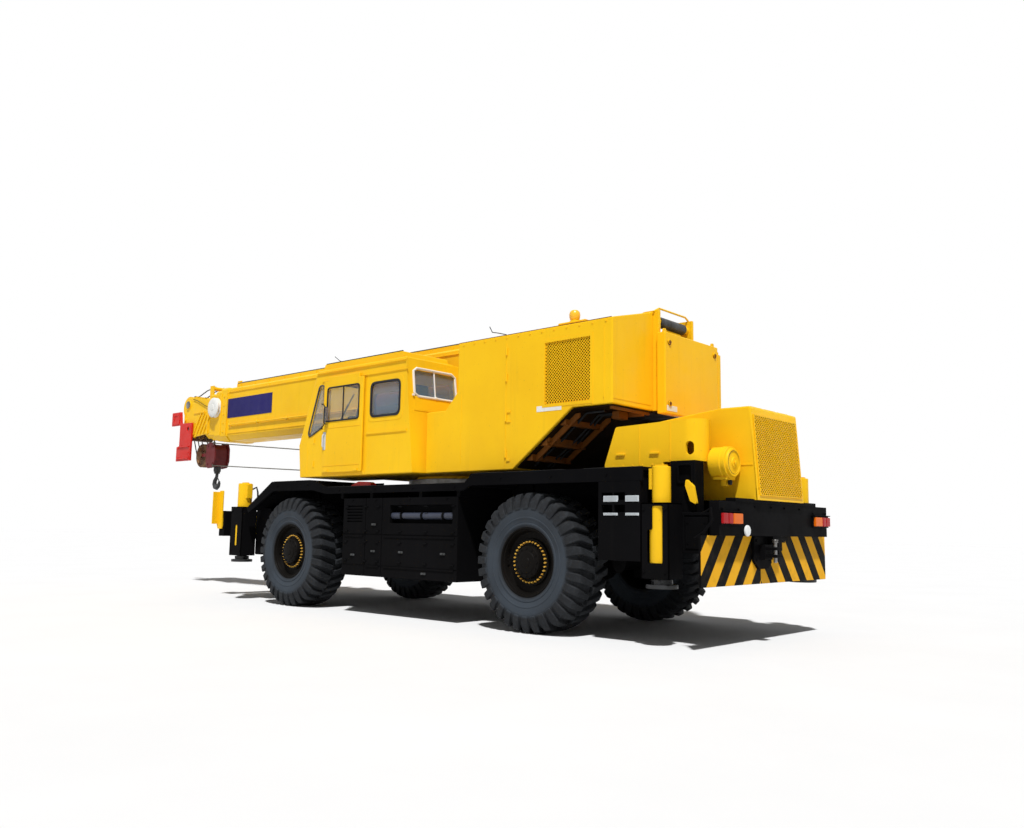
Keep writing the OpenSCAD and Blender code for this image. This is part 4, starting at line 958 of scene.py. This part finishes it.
# upper
def house_fittings():
    """screens, seams, bolts and louvres, a painted shadow line along the roof's edges, beacon and aerial, frames under
    the tail in painted shade, and the rear plate's fittings
    """
    y = HOUSE_Y
    lo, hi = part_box("house_grille")
    x0, x1 = lo.x + XM, hi.x + XM
    k = Kit("upper")
    mesh_screen(k, x0, x1, lo.z, hi.z, "y", hi.y - 0.012, hi.y, 0.04, 0.0095)
    k.done("house_screen", "yellow_paint", replaces=("house_grille",))
    # the cooler core behind the screen is drawn in the dark brown of painted shade
    k.block(x0 - 0.01, x1 + 0.01, hi.y - 0.1, hi.y - 0.05, lo.z - 0.01, hi.z + 0.01)
    fins = 16
    for i in range(fins):
        x = x0 + (i + 0.5) * (x1 - x0) / fins
        k.block(x - 0.006, x + 0.006, hi.y - 0.05, hi.y - 0.04, lo.z, hi.z, 0)
    k.done("cooler_core", "underside")

    for i in range(13):
        k.bolt((-3.33 + i * 0.19, y, HOUSE_Z1 - 0.035), Y, 0.01, 0.009)
    for x, z0, z1 in ((-3.3, 2.68, 3.5), (-1.8, 1.96, 3.5), (-1.02, 2.0, 2.9)):
        k.block(x - 0.008, x + 0.008, y - 0.001, y + 0.004, z0, z1, 0.0015)
    for z in (2.1, 2.55, 3.05, 3.38):
        k.rod((-1.815, y + 0.008, z - 0.05), (-1.815, y + 0.008, z + 0.05), 0.013, 12, 0.003)
    for z in (2.62, 2.5, 2.02):
        k.block(-1.89, -1.83, y, y + 0.012, z - 0.014, z + 0.014)
    k.panel(box_outline(x0 - 0.035, x1 + 0.035, lo.z - 0.035, hi.z + 0.035),
            [box_outline(x0 + 0.002, x1 - 0.002, lo.z + 0.002, hi.z - 0.002)], "y", y - 0.002, y + 0.005, 0.0015)
    k.block(HOUSE_X0 - 0.004, HOUSE_X0, 0.46, y - 0.02, 2.66, 2.67, 0)
    k.done("house_trim_left", "yellow_paint")

    for i in range(20):
        k.bolt((-3.33 + i * 0.125, -y, HOUSE_Z1 - 0.11), -Y, 0.01, 0.009)
    for x, z0, z1 in ((-3.3, 2.68, 3.46), (-2.4, 2.34, 3.46), (-1.5, 1.98, 3.46), (-0.55, 1.98, 2.68),
                      (0.25, 1.98, 2.68)):
        k.block(x - 0.008, x + 0.008, -y + 0.001, -y - 0.004, z0, z1, 0.0015)
    for x0 in (-2.25, -1.35, -0.4):
        for i in range(9):
            z = 2.3 + i * 0.04
            k.prism(box_outline(x0, x0 + 0.5, z, z + 0.016), "y", -y + 0.001, -y - 0.012, 0.003)
        k.block(x0 + 0.2, x0 + 0.3, -y, -y - 0.022, 2.14, 2.17, 0.006)
    k.done("house_trim_right", "yellow_paint")

    k.block(-2.69, -2.31, y - 0.001, y + 0.003, 2.58, 2.648, 0.001)
    k.block(-3.623, -3.619, 0.2, 0.42, 2.59, 2.655, 0.001)
    k.done("blank_labels", "white_paint")
    # a brown line along the top edges of the house: painted shadow under the roof's edge
    for yy, z in ((y - 0.01, HOUSE_Z1 + 0.002), (-y + 0.01, HOUSE_Z1 - 0.068)):
        k.tube([(HOUSE_X0 + 0.02, yy, z), (-0.96, yy, z)], 0.007, 8)
    k.done("roof_edge_shadow", "shade_brown")

    # beacon's lens and foot, whip aerial
    at = centre("upper_fittings")
    at = (at.x + XM, at.y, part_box("upper_fittings")[0].z)
    k.lathe([(0, 0.03), (0.058, 0.03), (0.066, 0.06), (0.068, 0.09), (0.06, 0.122), (0.04, 0.142), (0, 0.15)],
            at, Z, 32)
    k.done("beacon_lens", "beacon_yellow", replaces=("upper_fittings",))
    k.lathe([(0, 0), (0.062, 0), (0.062, 0.01), (0.052, 0.016), (0.052, 0.034), (0, 0.034)], at, Z, 32)
    k.done("beacon_foot", "yellow_paint")
    foot = Vector((-1.56, 0.95, HOUSE_Z1))
    whip = ((0, 0.05), (0.02, 0.09), (0.16, 0.13), (0.27, 0.155), (0.32, 0.235))
    k.tube([foot + u * X + v * Z for u, v in whip], 0.006)
    k.lathe([(0, 0), (0.03, 0), (0.02, 0.03), (0, 0.03)], foot + 0.045 * Z, Z, 16)
    k.done("aerial", "seal_rubber")

    # open frames under the sloping tail, drawn in painted shade: a dark brown pan and brown frames
    deck = [(-1.985, 1.93), (-2.845, 2.588), (-3.4, 2.588)]
    middle = [(-1.93, 1.912), (-2.834, 2.597), (-3.49, 2.597)]
    for line, y0, y1 in ((deck, 0.4, 1.205), (middle, -0.396, 0.396), (deck, -0.4, -1.205)):
        for a, b in zip(line, line[1:]):
            n = Vector((a[1] - b[1], b[0] - a[0])).normalized() * 0.008
            k.prism([a, b, (b[0] + n.x, b[1] + n.y), (a[0] + n.x, a[1] + n.y)], "y", y0, y1, 0)
    k.done("tail_pan", "underside")
    slope = (deck[1][1] - deck[0][1]) / (deck[1][0] - deck[0][0])
    brace = [(-2.16, 2.05), (-2.8, 2.54), (-2.86, 2.545), (-2.86, 2.5), (-2.2, 2.0)]
    for s in SIDES:
        for x, deep, tall in ((-2.1, 0.1, 0.035), (-2.32, 0.11, 0.04), (-2.62, 0.09, 0.035)):
            z = deck[0][1] + (x - deck[0][0]) * slope
            k.prism([(x + 0.03, z + 0.012), (x + 0.03, z - 0.006), (x - deep, z - 0.006), (x - deep, z + tall + 0.04)],
                    "y", s * 0.42, s * 1.17, 0.003)
        k.prism([(-2.4, 2.235), (-2.45, 2.225), (-2.45, 2.275), (-2.41, 2.255)], "y", s * 0.44, s * 1.16, 0.003)
        for yy in (0.48, 1.08):
            k.prism(brace, "y", s * yy, s * (yy + 0.025), 0.003)
    k.pair(-3.36, -2.92, 0.5, 0.56, 2.53, 2.585)
    k.pair(-3.18, -3.08, 0.58, 0.76, 2.49, 2.585, 0.005)
    k.pair(-3.38, -3.34, 0.42, 1.17, 2.55, 2.585)
    k.done("tail_frames", "shade_brown")
    for yy in (0.62, 0.7, 0.94):
        k.tube([(-2.05, yy, 1.965), (-2.2, yy + 0.02, 2.06), (-2.5, yy - 0.02, 2.29), (-2.84, yy, 2.56),
                (-3.1, yy, 2.566)], 0.014)
    k.done("tail_hoses", "seal_rubber")
    k.lathe([(0, 0), (0.062, 0), (0.066, 0.006), (0.066, 0.56), (0.062, 0.566), (0, 0.566)],
            (-3.41, -0.283, 3.7), Y, 32)
    k.done("rope_roller", "engine_grey")

    # the rear plate's bolts, edge and lifting eyes; the bolts take the brown of painted shade
    lo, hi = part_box("counterweight")
    x, top = lo.x + XM, hi.z
    for yy in (lo.y + 0.09, hi.y - 0.09):
        for z in (lo.z + 0.12, top - 0.12):
            k.bolt((x + 0.012, yy, z), -X, 0.024, 0.02)
    k.done("rear_plate_bolts", "shade_brown")
    k.block(x + 0.01, x + 0.11, lo.y - 0.012, lo.y + 0.002, lo.z + 0.02, top - 0.06)
    for yy in (lo.y + 0.06, hi.y - 0.06):
        eye = [(yy - 0.04, top - 0.002), (yy + 0.04, top - 0.002), (yy + 0.025, top + 0.05), (yy - 0.025, top + 0.05)]
        k.prism(rounded(eye, 0.02), "x", x + 0.05, x + 0.07, 0.003)
    k.done("lifting_eyes", "yellow_paint")
    k.tube([(-3.44, 0.42, 3.8), (-3.44, 0.3, 3.86), (-3.44, -0.3, 3.86), (-3.44, -0.42, 3.8)], 0.012)
    k.done("rear_rail", "yellow_paint")


def winch_drums():
    """rope wound in turns between the flanges"""
    turns, steps, wind = 22, 24, 0.238
    # place along and up, radius of the rope and of the flange
    drums = {"hoist": (-1.75, 2.3675, 0.18, 0.24), "auxiliary": (-3.19, 2.85, 0.15, 0.195)}
    k = Kit("upper")
    for name, (x, z, r, f) in drums.items():
        for s in SIDES:
            y = s * 0.25
            k.lathe([(0, 0), (f - 0.006, 0), (f, 0.006), (f, 0.019), (f - 0.006, 0.025), (f - 0.05, 0.025),
                     (f - 0.06, 0.018), (0.12, 0.018), (0.115, 0.026), (0.11, 0.106), (0, 0.106)],
                    (x, y, z), s * Y, 48)
            for u, v in ring(8, 0.085):
                k.bolt((x + u, y + s * 0.018, z + v), s * Y, 0.01)
        k.done(name + "_drum", "engine_grey", replaces=("winches",) if name == "hoist" else ())
        lay = ring(steps, r)
        path = [(x + lay[i % steps][0], -wind + 2 * wind * i / (turns * steps), z + lay[i % steps][1])
                for i in range(turns * steps + 1)]
        k.tube(path, 0.0108, 6)
        k.rod((x, -0.249, z), (x, 0.249, z), r - 0.004, 40)
        k.done(name + "_rope", "rope")


def seal(k, pts, y, r):
    k.tube([(u, y, v) for u, v in pts], r, 8, True)


def cab_fittings():
    """window seals and frames, wiper, roof slab, mirror, the door's handle and trim, seat and controls"""
    k = Kit("upper")
    edge = rounded(box_outline(-0.06, 0.58, 2.695, 3.2), 0.1, 6)
    k.panel(edge, [rounded(box_outline(-0.028, 0.548, 2.727, 3.168), 0.08, 6)], "y",
            CAB_Y - 0.006, CAB_Y + 0.013, 0.004)
    k.done("side_window_seal", "seal_rubber")
    k.panel(rounded(box_outline(-0.112, 0.632, 2.638, 3.257), 0.11, 6), [edge], "y",
            CAB_Y - 0.004, CAB_Y + 0.004, 0.001)
    k.done("side_window_panel", "yellow_paint")
    quarter = [(2.045, 2.475), (1.775, 3.26), (1.67, 3.26), (1.62, 2.66)]
    seal(k, rounded(quarter, 0.07, 6), CAB_Y + 0.002, 0.013)
    k.done("quarter_window_seal", "engine_grey")
    seal(k, rounded(box_outline(0.772, 1.506, 2.704, 3.196), 0.05, 5), CAB_Y + 0.052, 0.012)
    k.rod((1.14, CAB_Y + 0.046, 2.71), (1.14, CAB_Y + 0.046, 3.19), 0.01, 12)
    k.done("door_window_seal", "seal_rubber", body="door")

    # the cab's rear wall and its windscreen lean
    def back(yy, z, off=-0.004):
        return (-0.33 + (z - 1.905) * 0.18 / 1.58 + off, yy, z)

    def screen(yy, z, off=0.004):
        return (2.245 - (z - 2.39) * 0.4 / 1.095 + off, yy, z)

    k.tube([back(0.53, 2.99), back(0.6, 2.955), back(1.25, 2.955), back(1.32, 3.0), back(1.32, 3.3), back(1.26, 3.345),
            back(0.6, 3.345), back(0.53, 3.3)], 0.018, 8, True)
    k.tube([back(0.93, 2.955, 0.004), back(0.93, 3.345, 0.004)], 0.011)
    for yy in (0.93, 1.345):
        k.rod(back(yy, 2.965, 0.01), back(yy, 2.965, -0.03), 0.016, 12, 0.003)
    k.done("rear_window_frame", "white_paint")
    corners = ((2.755, -0.006), (2.955, -0.006), (2.955, 0.02), (2.755, 0.02))
    k.prism([back(0, z, off)[::2] for z, off in corners], "y", 0.515, 1.335, 0.002)
    k.done("rear_window_panel", "yellow_paint")
    zl, zh = 2.47, 3.35
    k.tube([screen(0.51, zl), screen(1.34, zl), screen(1.34, zh), screen(0.51, zh)], 0.016, 8, True)
    k.tube([screen(0.92, zl - 0.04, 0.03), screen(0.8, zl + 0.3, 0.022), screen(0.72, zl + 0.62, 0.02)], 0.008)
    k.tube([screen(0.86, zl + 0.12, 0.016), screen(0.66, zl + 0.78, 0.014)], 0.01)
    k.lathe([(0, 0), (0.03, 0), (0.03, 0.03), (0, 0.036)], screen(0.92, zl - 0.05, 0.0), (1, 0, 0.36), 16)
    k.done("windscreen_seal", "seal_rubber")

    zr = CAB_Z
    k.tube([(1.74, 1.345, zr + 0.112), (0.02, 1.345, zr + 0.112)], 0.011, 8)
    k.tube([(1.36, 1.3, zr + 0.1), (1.5, 1.3, zr + 0.15), (1.6, 1.31, zr + 0.22)], 0.005)
    k.done("roof_rail", "seal_rubber")
    k.block(-0.16, 1.84, CAB_Y - 0.004, CAB_Y + 0.022, zr - 0.045, zr - 0.03)
    k.block(-0.1, 1.8, 0.5, 1.38, zr - 0.002, zr + 0.022, 0.01)
    slab = [(-0.02, zr + 0.018), (1.8, zr + 0.018), (1.76, zr + 0.106), (0, zr + 0.106)]
    k.prism(rounded(slab, 0.02), "y", 0.52, 1.36, 0.012)
    for x in (0.3, 0.95):
        k.block(x - 0.2, x + 0.2, 0.62, 1.2, zr + 0.103, zr + 0.118, 0.006)
    k.block(0.652, 0.662, CAB_Y - 0.001, CAB_Y + 0.004, 1.93, 3.4, 0.001)
    k.block(2.02, 2.03, CAB_Y - 0.001, CAB_Y + 0.003, 1.96, 2.42, 0.001)
    for z in (2.1, 2.45):
        k.rod((1.86, CAB_Y + 0.006, z - 0.04), (1.86, CAB_Y + 0.006, z + 0.04), 0.011, 10)
    k.done("cab_trim", "yellow_paint")

    for z, d in ((2.6, 1), (2.98, -1)):
        arm = ((1.64, 0, 0), (1.62, 0.07, 0.01), (1.52, 0.1, 0.04), (1.47, 0.105, 0.1))
        k.tube([(x, CAB_Y + u, z + d * v) for x, u, v in arm], 0.008)
    k.prism(rounded(box_outline(CAB_Y + 0.062, CAB_Y + 0.132, 2.655, 2.915), 0.032), "x", 1.455, 1.485, 0.006)
    k.done("door_mirror", "seal_rubber")
    k.prism(rounded(box_outline(CAB_Y + 0.068, CAB_Y + 0.126, 2.662, 2.908), 0.028), "x", 1.451, 1.456, 0.001)
    k.done("mirror_glass", "chrome_rod")
    face = CAB_Y + 0.051
    grip = ((-0.004, 2.33), (0.03, 2.335), (0.034, 2.36), (0.034, 2.48), (0.03, 2.505), (-0.004, 2.51))
    k.tube([(1.545, face + u, z) for u, z in grip], 0.011)
    k.block(1.515, 1.575, face - 0.002, face + 0.006, 2.29, 2.55, 0.003)
    k.done("door_handle", "pale_steel", body="door")
    for z in (2.05, 2.6):
        k.block(0.72, 1.57, face - 0.001, face + 0.004, z, z + 0.008, 0.001)
    for x in (0.8, 1.48):
        k.block(x - 0.05, x + 0.05, face - 0.002, face + 0.016, 1.965, 2.0, 0.005)
    k.done("door_trim", "yellow_paint", body="door")

    # seat, armrests, consoles, dashboard, levers and wheel
    middle, arm_y, console_y, floor = 0.925, 0.28, 0.225, 1.945
    seat = (([(0.23, 2.28), (0.72, 2.3), (0.74, 2.36), (0.7, 2.41), (0.25, 2.39)], 0.04, 0.7, 1.16, 0.03),
            ([(0.15, 2.36), (0.26, 2.36), (0.2, 2.98), (0.14, 3.02), (0.07, 2.98)], 0.04, 0.71, 1.15, 0.035),
            ([(0.06, 3.02), (0.15, 3.02), (0.14, 3.18), (0.07, 3.18)], 0.03, 0.8, 1.06, 0.025),
            ([(1.5, floor), (1.8, floor), (1.8, 2.66), (1.62, 2.66), (1.5, 2.55)], 0.03, 0.645, 1.205, 0.01))
    for pts, r, y0, y1, bevel in seat:
        k.prism(rounded(pts, r), "y", y0, y1, bevel)
    k.block(0.28, 0.68, 0.74, 1.12, floor, 2.28, 0.02)
    for s in SIDES:
        y = middle + 0.005 + s * arm_y
        k.block(0.3, 0.68, y - 0.035, y + 0.035, 2.5, 2.55, 0.015)
        y = middle + s * console_y
        k.block(0.76, 1.05, y - 0.06, y + 0.06, floor, 2.505, 0.015)
    k.done("cab_seat_built", "seat_black", replaces=("cab_seat",))
    knob = [(0, 0), (0.018, 0.008), (0.022, 0.022), (0.016, 0.038), (0, 0.042)]
    for s in SIDES:
        y = middle + s * console_y
        for x in (0.82, 0.92, 1.0):
            k.rod((x, y, 2.5), (x + 0.03, y, 2.7), 0.007, 8)
            k.lathe(knob, (x + 0.03, y, 2.69), Z, 12)
    hub = Vector((1.42, middle, 2.72))
    tilt = Matrix.Rotation(math.radians(-35), 3, "Y")
    wheel = [hub + tilt @ Vector((u, v, 0)) for u, v in ring(32, 0.2)]
    k.tube(wheel, 0.014, 8, True)
    for i in (0, 11, 21):
        k.tube([hub, wheel[i]], 0.01)
    k.rod(hub, (1.6, middle, 2.45), 0.025)
    k.done("cab_controls", "seal_rubber")


# boom
def boom_fittings():
    """blank boards, edge strips, rope tray and ropes of the base section, and the cable reel"""
    k = Kit("boom")
    for side, s in (("left", 1), ("right", -1)):
        k.block(4.73, 6.37, s * BOOM_Y, s * (BOOM_Y + 0.006), 3.205, 3.575, 0.002)
        k.done("blank_board_" + side, "blue_paint")
    y = BOOM_Y - 0.002
    k.pair(-2.2, 6.2, y, y + 0.016, 3.7, 3.712, 0.003)
    k.pair(-2.2, 6.2, y, y + 0.012, 2.905, 2.915, 0.003)
    for i in range(9):
        x = -1.6 + i * 0.92
        k.pair(x, x + 0.05, y, y + 0.012, 3.712, 3.755, 0.003)
    for x in (6.23, 6.43):
        k.pair(x - 0.012, x + 0.012, 0.348, 0.36, 2.9, 3.7, 0.003)
    k.pair(-1.9, 6.08, 0.235, 0.247, BOOM_Z - 0.002, BOOM_Z + 0.078, 0.003)
    for s in SIDES:
        for i in range(5):
            k.bolt((6.33, s * 0.35, 2.95 + i * 0.17), s * Y, 0.016)
        for i in range(17):
            x = -1.75 + i * 0.48
            k.prism(box_outline(x, x + 0.03, BOOM_Z - 0.002, BOOM_Z + 0.06), "y", s * 0.246, s * 0.262, 0.003)
    for i in range(6):
        x = -1.5 + i * 1.45
        k.rod((x, -0.24, BOOM_Z + 0.05), (x, 0.24, BOOM_Z + 0.05), 0.014, 12)
    k.done("boom_strips", "yellow_paint")
    for yy in (-0.09, 0.09):
        k.tube([(-2.2, yy, BOOM_Z + 0.075), (2.0, yy, BOOM_Z + 0.082), (6.12, yy, BOOM_Z + 0.134)], 0.012, 8)
    for s in SIDES:
        k.tube([(-1.85, s * 0.241, BOOM_Z + 0.086), (6.05, s * 0.241, BOOM_Z + 0.086)], 0.009, 8)
    k.done("hoist_rope_base", "rope")
    for yy in (-0.09, 0.09):
        k.tube([(7.13, yy, BOOM_Z + 0.134), (7.45, yy, BOOM_Z + 0.09), (7.76, yy, BOOM_Z - 0.004)], 0.011, 8)
    k.done("hoist_rope_head", "rope", body="boom_stage_4")

    # cable reel on the second section
    at = (6.685, 0.309, 3.445)
    k.lathe([(0, 0), (0.19, 0), (0.192, 0.006), (0.192, 0.016), (0.184, 0.022), (0.174, 0.024), (0.174, 0.052),
             (0.184, 0.054), (0.192, 0.06), (0.192, 0.07), (0.184, 0.08), (0.15, 0.092), (0.1, 0.096), (0.066, 0.09),
             (0.062, 0.096), (0.03, 0.1), (0, 0.1)], at, Y, 56)
    for u, v in ring(6, 0.045):
        k.bolt((at[0] + u, at[1] + 0.094, at[2] + v), Y, 0.007, 0.007)
    k.done("cable_reel", "white_paint", body="boom_stage_2")
    k.tube([(6.72, 0.36, 3.605), (6.85, 0.34, 3.62), (6.92, 0.32, 3.6)], 0.006)
    k.done("reel_cable", "seal_rubber", body="boom_stage_2")


def grooved(r, half, bore):
    """profile of a rope sheave"""
    web = half * 0.45
    side = [(bore, half), (bore + 0.04, half), (bore + 0.05, web), (r - 0.055, web), (r - 0.04, half),
            (r, half * 0.85), (r - 0.006, half * 0.6)]
    return [(a, -h) for a, h in side] + [(r - 0.024, 0)] + side[::-1]


# pitch of the sheaves, and where the head's sheaves, the top sheaves and the hook block sit, along and up
SHEAVE = 0.0832
HEAD = (7.72, 3.095)
TOP = (7.84, 3.6)
BLOCK = (7.48, 2.56)


def boom_head():
    """sheaves, pins, ribs and cables of the head, and the red bracket's bolts and ribs"""
    k = Kit("boom_stage_4")
    for i in range(-2, 3):
        k.lathe(grooved(0.2355, 0.35 * SHEAVE, 0.05), (HEAD[0], i * SHEAVE, HEAD[1]), Y, 48)
    for i in (-1, 1):
        k.lathe(grooved(0.2, 0.35 * SHEAVE, 0.045), (TOP[0], i * 1.3 * SHEAVE, TOP[1]), Y, 48)
    k.done("sheave_stack", "sheave_brown", replaces=("head_sheaves",))
    for (x, z), r in ((HEAD, 0.046), (TOP, 0.041)):
        k.rod((x, -0.278, z), (x, 0.278, z), r, 28, 0.006)
        for s in SIDES:
            k.lathe([(0, 0), (r + 0.034, 0), (r + 0.034, 0.012), (r + 0.02, 0.018), (0, 0.018)],
                    (x, s * 0.276, z), s * Y, 28)
            for u, v in ring(4, r + 0.02, 0.6):
                k.bolt((x + u, s * 0.288, z + v), s * Y, 0.008, 0.008)
    k.done("head_pins", "bare_steel")
    for s in SIDES:
        y = s * 0.258
        for i in range(4):
            x0 = 7.6 - i * 0.125
            rib = [(x0, 2.98), (x0 - 0.03, 2.98), (x0 - 0.3, 3.4), (x0 - 0.27, 3.4)]
            k.prism(rib, "y", y - s * 0.004, y + s * 0.022, 0.004)
        k.prism(box_outline(7.2, 7.62, 3.4, 3.425), "y", y - s * 0.004, y + s * 0.018, 0.004)
        k.block(7.04, 7.08, y - s * 0.002, y + s * 0.02, 2.95, 3.62)
        k.rod((7.95, y - s * 0.02, 3.3), (7.95, y + s * 0.014, 3.3), 0.035, 20, 0.004)
    for x, z, r in ((7.93, 3.33, 0.022), (7.62, 2.93, 0.018), (7.6, 3.74, 0.018)):
        k.rod((x, -0.25, z), (x, 0.25, z), r)
    k.done("head_ribs", "yellow_paint")
    k.tube([(6.97, 0.262, 3.55), (7.1, 0.275, 3.5), (7.3, 0.275, 3.58), (7.5, 0.275, 3.66), (7.66, 0.272, 3.7)], 0.006)
    k.done("head_cables", "seal_rubber")
    for x, z in ((7.66, 2.52), (7.66, 2.62), (8.08, 2.52), (8.08, 2.72), (8.12, 3.23), (8.32, 3.23), (8.12, 3.41),
                 (8.32, 3.41)):
        k.bolt((x, 0.318, z), Y, 0.016, 0.014)
    k.panel(rounded(box_outline(8.08, 8.36, 3.215, 3.44), 0.03), [rounded(box_outline(8.14, 8.3, 3.27, 3.39), 0.03)],
            "y", 0.317, 0.327, 0.003)
    for x, z in ((8.1, 2.5), (8.02, 2.74)):
        k.tube([(7.64, 0.33, z), (x, 0.33, z)], 0.012)
    k.done("bracket_ribs", "red_paint")


def hook_block():
    """cheeks, sheaves, falls and hook, and the lashings that hold the block"""
    x, z = BLOCK

    def near(pts, r):
        return rounded([(x + u, z + v) for u, v in pts], r)

    cheek = 1.5 * SHEAVE
    side = near([(-0.58, -0.12), (-0.52, -0.25), (-0.32, -0.27), (-0.25, -0.2), (-0.25, 0), (-0.25, 0.2), (-0.32, 0.24),
                 (-0.52, 0.24), (-0.58, 0.12)], 0.06)
    arm = near([(-0.3, -0.034), (0.03, -0.03), (0.05, 0), (0.03, 0.03), (-0.3, 0.034)], 0.02)
    core = near([(-0.55, -0.12), (-0.5, -0.23), (-0.34, -0.25), (-0.265, -0.19), (-0.265, 0.15), (-0.34, 0.2),
                 (-0.5, 0.2), (-0.55, 0.1)], 0.04)
    k = Kit("boom_stage_4")
    for s in SIDES:
        k.prism(side, "y", s * (cheek + 0.006), s * (cheek + 0.042), 0.006)
        k.prism(arm, "y", s * (cheek + 0.008), s * (cheek + 0.03), 0.004)
        for u, v in ((-0.5, -0.17), (-0.5, 0.16), (-0.33, -0.18), (-0.33, 0.17)):
            k.bolt((x + u, s * (cheek + 0.042), z + v), s * Y, 0.016)
    k.prism(core, "y", -cheek - 0.008, cheek + 0.008, 0.008)
    k.done("block_cheeks", "maroon_paint", replaces=("hook_block",))
    for i in (-1, 0, 1):
        k.lathe(grooved(0.236, 0.35 * SHEAVE, 0.045), (x, i * SHEAVE, z), Y, 48)
    for s in SIDES:
        k.lathe([(0, 0), (0.075, 0), (0.075, 0.014), (0.05, 0.022), (0, 0.022)],
                (x, s * (cheek + 0.034), z), s * Y, 28)
    k.rod((x, -cheek - 0.05, z), (x, cheek + 0.05, z), 0.045, 28)
    k.done("block_sheaves", "sheave_brown")
    lean = Vector((HEAD[0] - x, 0, HEAD[1] - z))
    across = Vector((lean.z, 0, -lean.x)).normalized()
    for i in (-1, 0, 1):
        for d in SIDES:
            p = Vector((x, i * SHEAVE, z)) + across * d * 0.222
            k.tube([p, p + lean], 0.011, 8)
    k.done("rope_falls", "rope")
    # swivel and hook
    hx, hz = x - 0.42, z - 0.37
    k.lathe([(0, 0.13), (0.066, 0.13), (0.07, 0.1), (0.07, 0.05), (0.058, 0.03), (0.052, 0), (0, 0)],
            (hx, 0, hz), Z, 28)
    # along, up and radius of the hook's bend
    bend = [(0, 0.04, 0.036), (0, -0.05, 0.036), (0.02, -0.09, 0.04), (0.062, -0.14, 0.046), (0.072, -0.2, 0.052),
            (0.04, -0.255, 0.054), (-0.02, -0.272, 0.052), (-0.075, -0.245, 0.044), (-0.1, -0.195, 0.034),
            (-0.1, -0.15, 0.022)]
    rings = []
    for i, (u, w, r) in enumerate(bend):
        a, b = bend[max(i - 1, 0)], bend[min(i + 1, len(bend) - 1)]
        t = Vector((b[0] - a[0], 0, b[1] - a[1])).normalized()
        n = Vector((t.z, 0, -t.x))
        rings.append([Vector((hx + u, 0, hz + w)) + r * (n * c + Vector((0, 0.8, 0)) * d) for c, d in ring(16, 1)])
    k.loft(rings)
    k.tube([(hx - 0.095, 0, hz - 0.15), (hx - 0.05, 0, hz - 0.1), (hx - 0.02, 0, hz - 0.07)], 0.01)
    k.done("hook", "engine_grey")
    # each lashing is split where the boom's stages part
    stages = ("boom", "boom_stage_2", "boom_stage_3", "boom_stage_4")
    eye_x, eye_y = 1.405, 0.3
    rows = {"upper": (z + 0.22, 2.27), "lower": (z - 0.22, 1.985)}
    for row, (z0, z1) in rows.items():
        start, end = Vector((eye_x, eye_y, z1)), Vector((x - 0.52, 0.155, z0))
        cuts = [start.lerp(end, i / 3) for i in range(4)]
        for i in range(3):
            across = (stages[i], stages[i + 1], P(*cuts[i]), P(*cuts[i + 1]))
            k.tube(cuts[i:i + 2], 0.009, 8)
            k.done("tie_rope_%s_%d" % (row, i), "rope", body=across)
    for z0, z1 in rows.values():
        k.rod((x - 0.52, 0.15, z0 - 0.03), (x - 0.52, 0.15, z0 + 0.03), 0.022, 16, 0.004)
    k.done("tie_eyes", "rope")
    plate = ((-0.1, 2.82), (0.06, 2.82), (0.025, 1.955), (-0.025, 1.955))
    gusset = ((-0.05, 2.82), (-0.03, 2.82), (-0.01, 2.02), (-0.02, 2.02))
    for outline, y0, y1, bevel in ((plate, 0.312, 0.328, 0.004), (gusset, 0.255, 0.315, 0.003)):
        k.prism([(eye_x + u, v) for u, v in outline], "y", y0, y1, bevel)
    for z0, z1 in rows.values():
        k.tube([(eye_x + u, 0.306, z1 + v) for u, v in ring(16, 0.035)], 0.009, 8, True)
    k.done("tie_bracket", "red_paint", body="boom")


camera()
MATS = materials()
for node, slot in SLOT.items():
    ob = frame["nodes"][node]
    ob.data.materials.clear()
    ob.data.materials.append(MATS["door_glass" if node == "door_glass" else slot])
for build in (dressed_solids, wheels, outrigger_beams, engine_bay, air_cleaner, rear_end, front_end, carrier_sides,
              house_fittings, winch_drums, cab_fittings, boom_fittings, boom_head, hook_block, stage):
    build()

bpy.context.scene.view_settings.view_transform = "Standard"
